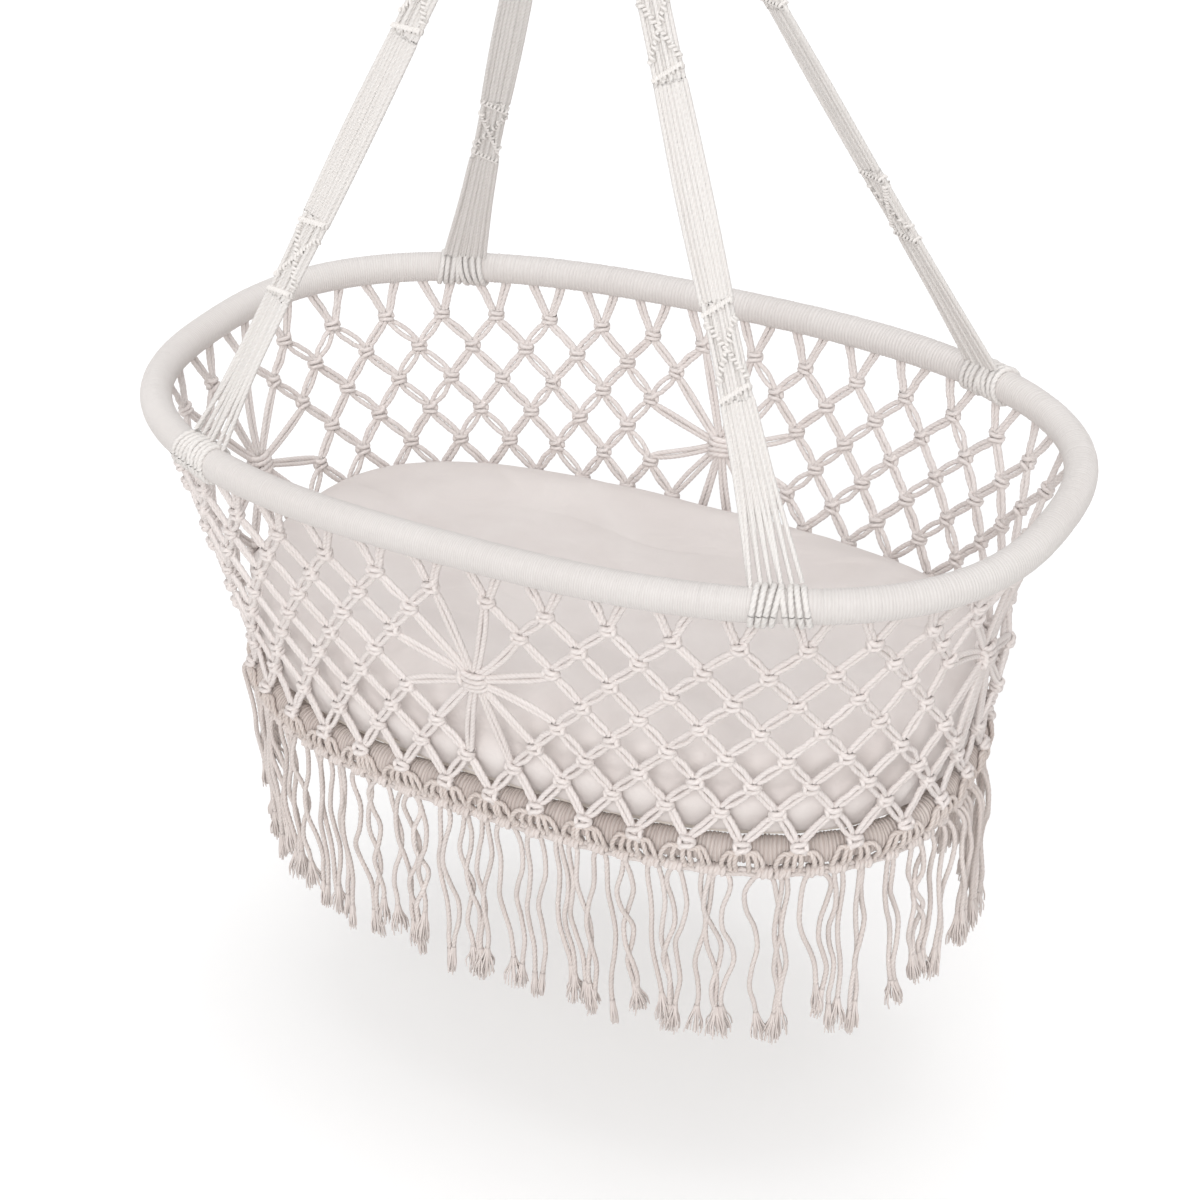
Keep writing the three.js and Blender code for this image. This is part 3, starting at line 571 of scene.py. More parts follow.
# Straps. Each is a flat band of eight cords that run side by side from the crown to the rim, over seven thinner ones
# that fill the grooves. In two places they are knotted into a panel: a row of hitches across, two rows that cross in
# a diamond, and another row across.
rim_half_length, rim_half_width, rim_roundness = 0.41, 0.25, 2.535
rim_level = mouth_level - 0.622
rim_wrap_radius = 0.014
rim_at, rim_run = oval_line(rim_half_length, rim_half_width, rim_roundness)
lashing_length = 0.046
strap_corners = ["front_right", "back_right", "back_left", "front_left"]
open_feet = ["front_right", "front_left"]  # straps whose cords stand apart at the rim
strap_cords = 8
strap_cord_thickness = 0.0045
strap_filler_thickness = 0.003
strap_rings = 340
strap_foot_rise = 0.0145  # where the cords start, above the rim's middle
strap_top_drop = 0.0203  # where their widths end, under the crown's mouth
panel_half_width = 0.0105
panel_hitch_thickness, panel_hitch_radius = 0.0029, 0.0019
strap_widths = [  # share of the way up, width
    (0, 0.042), (0.135, 0.0325), (0.225, 0.0275), (0.235, 0.025), (0.335, 0.025), (0.345, 0.0275), (0.46, 0.029),
    (0.575, 0.027), (0.585, 0.025), (0.69, 0.025), (0.7, 0.027), (0.8, 0.029), (0.91, 0.024), (0.97, 0.0175),
    (1, 0.013),
]
strap_panels = [(0.232, 0.338), (0.585, 0.69)]
strap_twist = {"front_left": -23}  # degrees that a strap hangs turned on itself


def lashing_axes(corner):
    """The straight line under a strap: its first end on the hoop, its middle and its direction."""
    share = (2 * corner + 1) / 8
    half = lashing_length / 2 / rim_run
    first, last = rim_at(share - half, rim_level), rim_at(share + half, rim_level)
    return first, (first + last) / 2, unit(last - first)


def strap_frame(corner):
    """A strap's foot, its top, and the directions along it, across it and through it."""
    foot, across = lashing_axes(corner)[1:]
    along = unit(mouth - foot)
    across = unit(across - along * (across @ along))
    return foot, mouth - along * strap_top_drop, along, across, np.cross(across, along)


def strap_sides(corner, place):
    """The directions across a strap and through it at a place along it."""
    across, through = strap_frame(corner)[3:]
    place = np.asarray(place, float)
    share = np.clip((place - 0.12) / 0.3, 0, 1) * np.clip((1 - place) / 0.15, 0, 1)
    angle = math.radians(strap_twist.get(strap_corners[corner], 0)) * share**2 * (3 - 2 * share)
    return turned(angle, across, through), turned(angle, through, -across)


def strap_lines(corner, filling=False):
    """The lines of a strap's cords, or of the ones that fill the grooves between them."""
    foot, top, along = strap_frame(corner)[:3]
    reach = np.linalg.norm(top - foot)
    open_foot = strap_corners[corner] in open_feet
    lines = []
    for k in np.arange(strap_cords - 1) + 0.5 if filling else range(strap_cords):
        spot = k / (strap_cords - 1) - 0.5
        turn = 0 if filling else 1 - 2 * (k % 2)
        knots = []
        for place, width in strap_widths:
            lateral = spot * (width - strap_cord_thickness)
            depth = 0.0004 * math.sin(7 * place + 2.1 * k) + 0.0004 * turn
            if any(low - 0.002 < place < high + 0.002 for low, high in strap_panels):
                depth += 0.0006 * turn
            if place > 0.9:
                depth -= (place - 0.9) * 0.042 * turn
            if open_foot and place < 0.12:
                share = 1 - place / 0.12 * 0.6
                lateral = lateral * (1 - share) + (k * 6 // strap_cords - 2.5) * 0.0079 * share
                depth += share * (0.0022 if k in (1, 5) else -0.0012)
            side, face = strap_sides(corner, place)
            knots.append(foot + along * max(place * reach, strap_foot_rise) + side * lateral + face * depth)
        aside = knots[-1] - top
        lines.append(knots + [mouth + aside * 0.8 - along * 0.004, mouth + aside * 0.62 + upward * 0.012])
    lines = np.array(lines)
    return even_lines(lines + rng.normal(0, 0.00018, lines.shape), strap_rings)


def panel_rows(low, high):
    """The hitch rows of a knotted panel, each with (place across from -1 to 1, place along) for every hitch."""
    spots = np.linspace(-1, 1, 7)
    size, middle = high - low, (low + high) / 2
    rows = [(spots, low + 0.1 * size * (0.5 + spots / 2)), (spots, high - 0.1 * size * (0.5 - spots / 2))]
    rows += [(spots * 0.93, middle + size * 0.3 * spots * 0.93 * way) for way in (1, -1)]
    return [np.stack(row, 1) for row in rows]


for corner, corner_name in enumerate(strap_corners):
    foot, top, along = strap_frame(corner)[:3]
    reach = np.linalg.norm(top - foot)
    blocks = [spin_cords(strap_lines(corner), strap_cord_thickness, groove=0.09)]
    blocks.append(spin_cords(strap_lines(corner, filling=True), strap_filler_thickness, sides=7, groove=0.05))
    for low, high in strap_panels:
        for face in (1, -1):
            for row in panel_rows(low, high):
                side, facing = strap_sides(corner, row[:, 1])
                facing = facing * face
                carry = foot + row[:, 1:] * reach * along + row[:, :1] * panel_half_width * side + facing * 0.0015
                way = unit(np.gradient(carry, axis=0))
                pitch = np.linalg.norm(carry[1] - carry[0]) * 0.96
                lines = hitches(carry, way, facing, unit(np.cross(facing, way)), panel_hitch_radius, pitch)
                blocks.append(spin_cords(lines, panel_hitch_thickness, sides=7, lead=hitch_lead))
    place_piece(
        "strap_cords_" + corner_name,
        cord_parts(blocks),
        strap_cotton,
        "cradle",
        "strap_cord",
        "strap_" + corner_name,
        bends=("crown", mouth + upward * 0.004, mouth - upward * 0.03),  # where the cords leave the whipping
    )

# Lashings. At the rim each strap cord is looped once round the hoop, slanting a little this way and that, and
# tucked in under its neighbour.
lashing_thickness = 0.0056
lashing_radius = 0.0148
lashing_lean = 0.0026  # to the right on one half, to the left on the other
lashing_underlay_radius = 0.0138
wound_fibres = {"plies": 1.0, "fibres": (60.0, 9.0)}
wrap_cotton = cotton_cord(
    "wrap cotton", (0.895, 0.882, 0.873), (0.785, 0.755, 0.74), 0.26, 0.0004, 0.28, **wound_fibres
)


def ridged_sleeve(middles, out, radius, turns, per_turn, sides, ridge):
    """A cord wound side by side round a hoop, whose radius may change along it. The rows of corners follow the
    winding, so that its ridges are clean, and each turn lies a little higher or lower than the next."""
    rows = turns * per_turn
    row, corner = np.meshgrid(np.arange(rows + per_turn + 1), np.arange(sides), indexing="ij")
    angle = 2 * np.pi * corner / sides
    lean = np.interp(row / per_turn, np.arange(turns + 3), rng.uniform(-0.4, 0.4, turns + 3)) * np.sin(angle)
    place = (row / per_turn + corner / sides - 1 + lean) / (turns - 1)
    spot = np.clip(place, 0, 1) * (len(middles) - 1)
    at_spot = lambda values: np.interp(spot, np.arange(len(middles)), values)
    mix = lambda values: np.stack([at_spot(values[:, k]) for k in range(3)], -1)
    crest = np.sin(np.pi * (row % per_turn) / per_turn)
    uneven = rng.uniform(-0.35, 0.35, turns + 3) * ridge
    height = at_spot(np.broadcast_to(radius, len(middles))) + uneven[row // per_turn] * crest
    height = height - ridge * (1 - np.abs(crest) ** 0.7)
    points = mix(middles) + height[..., None] * turned(angle, unit(mix(out)), upward)
    index = np.arange(row.size).reshape(row.shape)
    index = np.concatenate([index[: rows + 1], index[per_turn : rows + per_turn + 1, :1]], 1)  # closed by a turn on
    corners = [index[:-1, :-1], index[:-1, 1:], index[1:, 1:], index[1:, :-1]]
    quads = np.stack([places.T for places in corners], -1).reshape(-1, 4)
    u = np.repeat(np.arange(sides) / sides, rows)
    v = u + 1 / sides
    low = np.tile(np.arange(rows) / per_turn, sides)
    high = low + 1 / per_turn
    lays = np.stack([low, u, low, v, high, v, high, u], -1).reshape(-1, 2)
    return points.reshape(-1, 3), quads, lays, np.full(points.size // 3, 0.4)


def place_wound(name, sleeve, blocks, materials, slot, replaced):
    """Hangs a wound sleeve and the cords over it: the first material is the cords', the second the winding's."""
    cords = cord_parts(blocks)
    sleeve = (sleeve[0], sleeve[1] + len(cords[0]), *sleeve[2:])
    parts = [np.concatenate(both) for both in zip(cords, sleeve)]
    mesh = place_piece(name, parts, materials[0], "cradle", slot, replaced).data
    mesh.materials.append(materials[1])
    mesh.polygons.foreach_set("material_index", (np.arange(len(parts[1])) >= len(cords[1])).astype(np.int32))


for corner, corner_name in enumerate(strap_corners):
    first, _, way = lashing_axes(corner)
    out = np.cross(way, upward)
    loops = []
    for k in range(strap_cords):
        centre = first + way * (lashing_length * (k + 0.5) / strap_cords)
        lean = lashing_lean * (1 if k < strap_cords / 2 else -1) + rng.normal(0, 0.0009)
        angle = np.linspace(0, 2 * np.pi, 17)
        radius = lashing_radius + rng.uniform(-0.0006, 0.0005)
        loops.append(centre + way * (lean * np.sin(angle - 0.5))[:, None] + radius * turned(angle, out, upward))
    blocks = [cords_through(loops, 52, lashing_thickness)]
    under = first + np.linspace(-0.002, lashing_length + 0.002, 30)[:, None] * way
    outward = np.broadcast_to(out, under.shape)
    sleeve = ridged_sleeve(under, outward, lashing_underlay_radius, turns=14, per_turn=6, sides=24, ridge=0.0005)
    materials = (strap_cotton, wrap_cotton)
    place_wound("lashing_loops_" + corner_name, sleeve, blocks, materials, "strap_cord", "lashing_" + corner_name)

# Rim hoop. An oval of steel rod, bent and welded, wound round with cord side by side over its whole length. The
# rod itself doesn't show.
lashing_overlap = 0.003  # how far the winding runs in under a lashing
rim_cords = {  # the winding cord's thickness, and how high its ridge stands
    "right": (0.0026, 0.0004),
    "back": (0.0033, 0.0006),
    "left": (0.0023, 0.0003),
    "front": (0.002, 0.00024),
}


def plain_coat(node, material):
    """Gives a solid that stays in the scene its material."""
    nodes[node].data.materials.clear()
    nodes[node].data.materials.append(material)


plain_coat("rim_hoop", zinc)
for k, (side, (pitch, ridge)) in enumerate(rim_cords.items()):
    margin = (lashing_length / 2 - lashing_overlap) / rim_run
    share = np.linspace((2 * k + 1) / 8 + margin, (2 * k + 3) / 8 - margin, 260)
    out = hoop_axes(rim_at, share)[1]
    turns = int(rim_run * (share[-1] - share[0]) / pitch)
    sleeve = ridged_sleeve(rim_at(share, rim_level), out, rim_wrap_radius, turns, per_turn=5, sides=24, ridge=ridge)
    place_wound("rim_winding_" + side, sleeve, (), (wrap_cotton, wrap_cotton), "wrap_cord", "rim_wrap_" + side)

# Net. Doubled cords hang from the rim and are joined by square knots, offset from row to row, with one great knot
# in the middle of each side where twelve doubled cords run together. The last row of knots lies on the base hoop.
net_cotton = cotton_cord("net cotton", (0.965, 0.94, 0.93), (0.855, 0.815, 0.795), 0.22, 0.0005, 0.3)
net_thickness = 0.0051
great_knot_thickness, great_bundle_thickness = 0.0056, 0.0046
hoop_row = 8
hoop_knot_rise = math.radians(42)  # how far up the winding's side the last knots lie
centre_row = 4
great_spacing = half_columns // 4
waist_rows = (0, 1, 2, 3, 4, 5, 6), (0, 0.011, 0.020, 0.021, 0.014, 0.004, 0)  # knot rows, how far each is drawn in
waist_reach = 0.09  # share of the way round, to each side of the right end


def row_level(row):
    top = rim_level - rim_wrap_radius - 0.0003
    foot = base_level + base_wrap_radius + 0.0003
    return top + (foot - top) * np.asarray(row, float) / hoop_row


def row_at(level):
    return hoop_row * (row_level(0) - level) / (row_level(0) - row_level(hoop_row))


def wall_at(i, level):
    """A point of the basket's wall. It runs straight from rim to base, but the taut net is drawn in at the right
    end."""
    share, level = np.asarray(i, float) / half_columns, np.asarray(level, float)
    down = ((rim_level - level) / (rim_level - base_level))[..., None]
    point = rim_at(share) * (1 - down) + base_at(share) * down
    waist = np.interp(row_at(level), *waist_rows) * np.exp(-(((share % 1 - 0.25) / waist_reach) ** 4))
    point -= waist[..., None] * hoop_axes(rim_at, share)[1]
    point[..., 2] = level
    return point


def wall_axes(i, row):
    """A place in the net, its direction to the right, up and out. The last row leans on the hoop's winding."""
    i, row = np.asarray(i, float), np.asarray(row, float)
    right = unit(wall_at(i + 0.5, row_level(row)) - wall_at(i - 0.5, row_level(row)))
    rise = unit(wall_at(i, row_level(row - 0.5)) - wall_at(i, row_level(row + 0.5)))
    out = unit(np.cross(right, rise))
    on_hoop = (row > hoop_row - 0.5)[..., None]
    along, level_out = hoop_axes(base_at, i / half_columns)
    leaning = math.cos(hoop_knot_rise) * level_out + math.sin(hoop_knot_rise) * upward
    hoop_middle = base_at(i / half_columns, base_level) + (base_wrap_radius + 0.003) * leaning
    middle = np.where(on_hoop, hoop_middle, wall_at(i, row_level(row)))
    right, out = np.where(on_hoop, along, right), np.where(on_hoop, unit(leaning + level_out), out)
    return middle, right, np.cross(out, right), out


from_great = lambda i: i - great_spacing * np.round(i / great_spacing)
in_great = lambda i, row: abs(from_great(i)) + abs(row - centre_row) <= 2

# One square knot, in millimetres on its own axes: across, out of the wall, up. Two cords run through, the left one
# is tied over them in front, and the right one behind, with its bump on the left.
through_left = [(-2.1, -0.2, 5.4), (-1.9, -0.4, 2.5), (-2.0, -0.4, -2.5), (-2.1, -0.2, -5.4)]
through_right = [(2.1, -0.2, 5.4), (1.9, -0.4, 2.5), (2.0, -0.4, -2.5), (2.1, -0.2, -5.4)]
knot_core = [(0, 0.3, 4.2), (0, 0.3, 1.4), (0, 0.3, -1.4), (0, 0.3, -4.2)]
tied_front = [
    (-4.8, 0, 5.0), (-4.9, 1.0, 3.7), (-3.4, 3.0, 2.7), (0, 3.9, 2.35), (3.6, 3.1, 2.1), (5.5, 0.6, 1.2),
    (5.6, 0.2, -0.6), (3.6, 3.0, -1.9), (0, 3.9, -2.35), (-3.4, 3.1, -2.7), (-4.9, 1.0, -3.7), (-4.8, 0, -5.0),
]
tied_back = [
    (4.8, 0, 5.0), (4.7, -1.4, 3.8), (3.0, -3.6, 2.4), (-1, -4.0, 1.9), (-4.8, -2.2, 1.7), (-6.1, 0.6, 1.9),
    (-5.9, 2.9, 0.9),
]
tied_back += [(x, y, -z) for x, y, z in tied_back[::-1]]
knot_cords = [  # the lines of a block, its rings, the cords' thickness and sides. The core fills the gaps between them
    ([through_left, through_right], 8, net_thickness, 7),
    ([knot_core], 8, 0.0066, 7),
    ([tied_front], 24, 0.0052, 8),
    ([tied_back], 26, 0.0048, 8),
]


def knot_blocks(*size):
    """A square knot's cords on its own axes, made wider, deeper and taller by the three shares in size."""
    grown = lambda lines: np.array(lines) * size * 0.001
    return [cords_through(grown(lines), rings, thickness, sides=sides) for lines, rings, thickness, sides in knot_cords]


def great_knot_blocks():
    """The great knot: the same knot tied with doubled cords over a thick bundle."""
    lines = []
    for rise, bulge in ((0.0, 0.9), (4.9, 0.0)):
        for points in (tied_front, tied_back):
            knots = np.array(points) * [2.05, 1.55, 1.0]
            knots[:, 2] = np.sign(knots[:, 2]) * (np.abs(knots[:, 2]) * 1.15 + rise)
            knots[:, 1] += np.sign(knots[:, 1]) * bulge
            lines.append(even_lines(knots[None] * 0.001, 34))
    spots = [(x, y) for x in (-8, -4, 0, 4, 8) for y in (-1.8, 1.8)]
    bundle = np.array([[(x, y, 10), (x * 0.9, y, 3), (x * 0.9, y, -3), (x, y, -10)] for x, y in spots])
    tied = spin_cords(np.concatenate(lines), great_knot_thickness, sides=8)
    return [tied, cords_through(bundle * 0.001, 12, great_bundle_thickness, sides=7)]


def copies(block, axes):
    """Copies of a cord block, drawn from its own axes into many others: (middle, right, rise, out) of each."""
    middle, right, rise, out = (way[:, None, None, None] for way in axes)
    across, depth, up = (block["points"][None, ..., k : k + 1] for k in range(3))
    points = middle + across * right + up * rise + depth * out
    run = np.repeat(block["run"][None], len(points), 0)
    points, run = points.reshape(-1, *points.shape[2:]), run.reshape(-1, run.shape[-1])
    return {"points": points, "run": run, "tone": rng.random(len(points))}


knot_kinds = [knot_blocks(0.9776, 1.04, 1.2064), knot_blocks(0.99, 1.1, 1.32), knot_blocks(0.98, 1.0, 1.1)]
great_kind = great_knot_blocks()
mirror = {"ne": (1, 1), "nw": (-1, 1), "se": (1, -1), "sw": (-1, -1)}


def port_points(i, row, side):
    """Where the inner and the outer cord of a doubled cord leave a knot."""
    middle, right, rise, out = wall_axes(i, row)
    x, z = mirror[side]
    inner = middle + right * 0.0021 * x + rise * 0.0062 * z - out * 0.0002
    return inner, middle + right * 0.005 * x + rise * 0.0056 * z


def doubled(starts, ends, out, apart):
    """The two lines of a doubled cord between two knots. The inner cord of one knot is the outer one of the next."""
    start_middle, end_middle = sum(starts) / 2, sum(ends) / 2
    way = unit(end_middle - start_middle)
    left = np.cross(out, way)
    lines = []
    for first, last in zip(starts, ends[::-1]):
        sign = 1 if (first - start_middle) @ left > 0 else -1
        sag = rng.normal(0, 0.0004, 3)
        line = [first - way * 0.0012]
        for share, wide, loose in ((0.22, 0.92, 0), (0.5, 1, 1), (0.78, 0.92, 0)):
            centre = start_middle * (1 - share) + end_middle * share
            line.append(centre + left * sign * (apart * wide) / 2 + sag * loose)
        lines.append(line + [last + way * 0.0012])
    return lines


steps = {"ne": (1, -1, "sw"), "nw": (-1, -1, "se"), "sw": (-1, 1, "ne"), "se": (1, 1, "nw")}
great_reach = [(3, -1), (2, -2), (1, -3), (-1, -3), (-2, -2), (-3, -1)]
great_reach += [(-3, 1), (-2, 2), (-1, 3), (1, 3), (2, 2), (3, 1)]


def rim_tie(i, di, starts):
    """The two cords from a knot up to the rim, where they end inside the winding."""
    middle, right = wall_axes(i + di / 2, 0)[:2]
    lines = []
    for start, side in zip(starts, (-1, 1)):
        by = middle + right * di * side * 0.00245
        mid = (start + by) / 2 + rng.normal(0, 0.0005, 3)
        lines.append([start - unit(by - start) * 0.0012, start * 0.7 + by * 0.3, mid, by, by + upward * 0.006])
    return lines


def great_cords(i):
    """The twelve doubled cords that run together in a great knot."""
    middle, right, rise, out = wall_axes(i, centre_row)
    lines = []
    for di, dr in great_reach:
        side = ("s" if dr < 0 else "n") + ("w" if di > 0 else "e")
        ends = port_points(i + di, centre_row + dr, side)
        centre = sum(ends) / 2
        way = unit(centre - middle)
        left = np.cross(out, way)
        start = middle + 0.0098 * (right * (way @ right) + rise * (way @ rise)) + out * rng.uniform(-0.001, 0.0016)
        apart = rng.uniform(0.0046, 0.0062)
        pull = rng.normal(0, 0.0014)
        for far in ends[::-1]:
            sign = -1 if (far - centre) @ left < 0 else 1
            line = [middle + (start - middle) * 0.45 + left * sign * 0.0012]
            for share, wide in ((0.0, 0.62), (0.3, 0.8), (0.65, 0.95), (0.9, 0.75)):
                bow = left * pull * math.sin(math.pi * share)
                line.append(start * (1 - share) + centre * share + left * sign * apart * wide / 2 + bow)
            lines.append(line + [far + unit(far - line[-1]) * 0.001])
    return lines


def net_lines(first, end):
    """The doubled cords of one stretch of the net, and the places of its knots."""
    short, tall, knots = [], [], []
    for i in range(first, end):
        for row in range(1, hoop_row + 1):
            if (i + row) % 2 or in_great(i, row):
                continue
            knots.append((i, row))
            out = wall_axes(i, row)[3]
            for side, (di, dr, facing) in steps.items():
                following = row + dr
                starts = port_points(i, row, side)
                if following == 0:
                    short += rim_tie(i, di, starts)
                elif dr > 0 and following <= hoop_row and not in_great(i + di, following):
                    apart = rng.uniform(0.0043, 0.0058) + 0.0016 * (rng.random() < 0.25)
                    short += doubled(starts, port_points(i + di, following, facing), out, apart)
        if from_great(i) == 0:
            tall += great_cords(i)
    return short, tall, knots


net_groups = []
for k, (side, turn_name) in enumerate(zip(["front", "right", "back", "left"], fringe_groups[1::2])):
    for name, first, end in (("rosette_" + side, -3, 4), (turn_name + "_1", 4, 10), (turn_name + "_2", 10, 17)):
        net_groups.append(("net_" + name, great_spacing * k + first, great_spacing * k + end))
for name, first, end in net_groups:
    short, tall, knots = net_lines(first, end)
    blocks = [cords_through(short, 20, net_thickness)]
    if tall:
        blocks.append(cords_through(tall, 48, net_thickness))
        axes = wall_axes(np.array([first + 3.0]), np.array([float(centre_row)]))
        blocks += [copies(block, axes) for block in great_kind]
    knots = np.array(knots, float)
    kind = rng.integers(0, len(knot_kinds), len(knots))
    flip = np.where(rng.random(len(knots)) < 0.5, 1, -1)
    for pick, knot_kind in enumerate(knot_kinds):
        chosen = knots[kind == pick]
        middle, right, rise, out = wall_axes(chosen[:, 0], chosen[:, 1])
        lean = rng.normal(0, 0.09, len(chosen))
        side = flip[kind == pick][:, None]
        axes = (middle, turned(lean, right, rise) * side, turned(lean, rise, -right) * side, out)
        blocks += [copies(block, axes) for block in knot_kind]
    place_piece("mesh_" + name, cord_parts(blocks), net_cotton, "cradle", "net_cord", name)

# Base hoop. A smaller oval of steel rod, wound with finer cord that bulges between the net's last knots. From each
# of these knots six cords fan out over the winding and run on to the fringe.
# The fans are the net's own cords, given darker colours and deeper creases than the net's: painted shade for the
# shadowed gaps round the base hoop.
base_cotton = cotton_cord("gathered cotton", (0.925, 0.89, 0.87), (0.76, 0.70, 0.665), 0.34, 0.0006, 0.4)
# The winding's dark shade colour and strong creases paint shade into the grooves between its turns and under the fans.
base_winding = cotton_cord(
    "base winding cotton", (0.915, 0.88, 0.86), (0.72, 0.66, 0.63), 0.5, 0.0008, 0.5, **wound_fibres
)
base_pitch = 0.0031
base_ridge = 0.0012
base_hump = 0.0012
fan_thickness = 0.0047
fan_lows = (-0.0182, -0.0112, -0.0038, 0.0036, 0.0108, 0.018)  # how far to the side each cord of a fan ends


def over_winding(i, places, lift):
    """A line over the base winding, through (metres to the side of knot i, degrees up from level)."""
    outward = hoop_axes(base_at, i / half_columns)[1]
    line = []
    for lateral, turn in places:
        reach = (base_wrap_radius + lift) * turned(np.radians(turn), outward, upward)
        line.append(base_at(i / half_columns + lateral / base_run, base_level) + reach)
    return line


def fan_lines(i):
    """The cords that fan out from a knot over the winding, down to the fringe's hitches."""
    (left_inner, left_outer), (right_inner, right_outer) = (port_points(i, hoop_row, side) for side in ("se", "sw"))
    between = [(left_inner * (2 - k) + right_inner * (1 + k)) / 3 for k in (0, 1)]
    starts = [left_outer, left_inner, *between, right_inner, right_outer]
    if (right_outer - left_outer) @ hoop_axes(base_at, i / half_columns)[0] < 0:
        starts = starts[::-1]
    lines = []
    for start, low in zip(starts, fan_lows):
        low += rng.normal(0, 0.0012)
        places = [(low * 0.7, 24 + rng.uniform(-5, 5)), (low * 0.98, 0), (low * 1.06, -28), (low * 1.02, -58)]
        line = [start] + over_winding(i, places, rng.uniform(0.0014, 0.003))
        lines.append(even_lines([line + [line[-1] - upward * 0.0045]], 26)[0])
    return lines


plain_coat("base_hoop", zinc)
for k, side in enumerate(rim_cords):
    share = np.linspace((2 * k + 1) / 8, (2 * k + 3) / 8, 400)
    out = hoop_axes(base_at, share)[1]
    hump = base_hump * (0.5 - 0.5 * np.cos(2 * np.pi * share * columns)) ** 0.8
    turns = int(base_run / 4 / base_pitch)
    radius = base_wrap_radius - base_ridge + hump
    sleeve = ridged_sleeve(base_at(share, base_level), out, radius, turns, per_turn=6, sides=20, ridge=base_ridge)
    over = []
    for i in range(20 * k + 10, 20 * k + 30, 2):
        over += fan_lines(i)
    blocks = [spin_cords(np.array(over), fan_thickness)]
    place_wound("base_winding_" + side, sleeve, blocks, (base_cotton, base_winding), "wrap_cord", "base_wrap_" + side)

# Board. An oval of plywood that lies on the base hoop, under the mattress. It is whitewashed, and its grain shows
# through.


def plywood():
    made, paint = new_material("birch plywood")
    body = paint.add("TexCoord").outputs["Object"]
    long_way = paint.add("Mapping", Vector=body, Scale=(3.0, 42.0, 42.0))
    grain = paint.noise(long_way, 1.0, Detail=6.0, Roughness=0.6, Distortion=0.4)
    pores = paint.noise(paint.add("Mapping", Vector=body, Scale=(60.0, 1300.0, 1300.0)), 1.0, Detail=2.0)
    dark = paint.spread(grain, 0.38, 0.68, 0.0, 0.75)
    both = paint.math("ADD", dark, paint.spread(pores, 0.62, 0.8, 0.0, 0.3), clamp=True)
    colour = paint.mixed(both, (0.74, 0.69, 0.63, 1), (0.62, 0.56, 0.5, 1))
    rough = paint.spread(grain, 0.3, 0.7, 0.62, 0.78)
    paint.coat(Base_Color=colour, Roughness=rough, Normal=paint.bump(0.3, 0.0003, pores))
    return made


plain_coat("base_board", plywood())

# Mattress. A cotton cover sewn in two halves, piped at the seam and filled with wadding, that lies on the board.
# Its edge is puffed up between the board and the net and its top is soft, with shallow dimples.
mattress_level = base_level + base_wrap_radius + 0.0086
mattress_thickness = 0.072
mattress_wall_gap = 0.008
mattress_corners = 240  # of a ring round it
mattress_sections = [  # share of the height, and how far it is drawn in there from its widest oval
    (0.0, 0.12), (0.0, 0.04), (0.0, 0.012), (-0.02, 0.003), (-0.05, -0.002), (-0.08, -0.0036), (-0.065, -0.0048),
    (-0.01, -0.0052), (0.07, -0.005), (0.17, -0.0046), (0.28, -0.0042), (0.38, -0.0022), (0.46, 0.003),
    (0.52, 0.0064), (0.59, 0.0052), (0.68, 0.005), (0.77, 0.0068), (0.86, 0.011), (0.93, 0.0185), (0.985, 0.029),
    (1.02, 0.043), (1.03, 0.062), (1.02, 0.09), (1.0, 0.12),
]
mattress_end_rise = 0.012  # how much more the wadding stands up at the two ends
mattress_swell, mattress_side_swell = 0.007, 0.0014  # how far the wadding may push the cover; the net holds the side


def mattress_cotton():
    made, paint = new_material("mattress cotton")
    body = paint.add("TexCoord").outputs["Object"]
    threads = lambda way: paint.add(
        "TexWave", {"bands_direction": way}, Vector=body, Scale=420.0, Distortion=0.6, Detail=1.0
    ).outputs["Fac"]
    weave = paint.math("MULTIPLY", threads("X"), threads("Y"))
    creases = paint.noise(body, 16.0, Detail=5.0, Roughness=0.5, Distortion=0.7)
    tint = paint.spread(paint.noise(body, 13.0, Detail=3.0, Distortion=0.4), 0.36, 0.7, 0.1, 0.45)
    tint = paint.math("MULTIPLY_ADD", weave, -0.06, tint)
    height = paint.math("MULTIPLY_ADD", weave, 0.035, creases)
    paint.coat(
        Base_Color=paint.mixed(tint, (0.79, 0.745, 0.725, 1), (0.65, 0.59, 0.57, 1)),
        Roughness=paint.spread(creases, 0.3, 0.7, 0.82, 0.93),
        Normal=paint.bump(0.55, 0.006, height),
        Sheen_Weight=0.2,
        Sheen_Roughness=0.5,
        Specular_IOR_Level=0.2,
    )
    return made


def mattress_points():
    """The mattress's rings from its foot to its top."""
    rings = []
    for height, inset in mattress_sections:
        level = mattress_level + mattress_thickness * height
        down = (rim_level - level) / (rim_level - base_level)
        half_length = rim_half_length + (base_half_length - rim_half_length) * down - mattress_wall_gap
        half_width = rim_half_width + (base_half_width - rim_half_width) * down - mattress_wall_gap
        share = np.arange(mattress_corners) / mattress_corners
        line = oval_line(half_length, half_width, base_roundness)[0](share, level)
        line[:, :2] *= 1 - inset / np.linalg.norm(line[:, :2], axis=1, keepdims=True)
        rings.append(line)
    rings.append(rings[-1] * [0.9, 0.9, 1])
    rings = np.array(rings)
    height = np.clip((rings[..., 2] - mattress_level) / mattress_thickness, 0, 1)
    end_share = np.clip((np.abs(rings[..., 0]) - 0.1) / 0.22, 0, 1)
    rings[..., 2] += mattress_end_rise * height**1.5 * end_share**1.4
    return rings


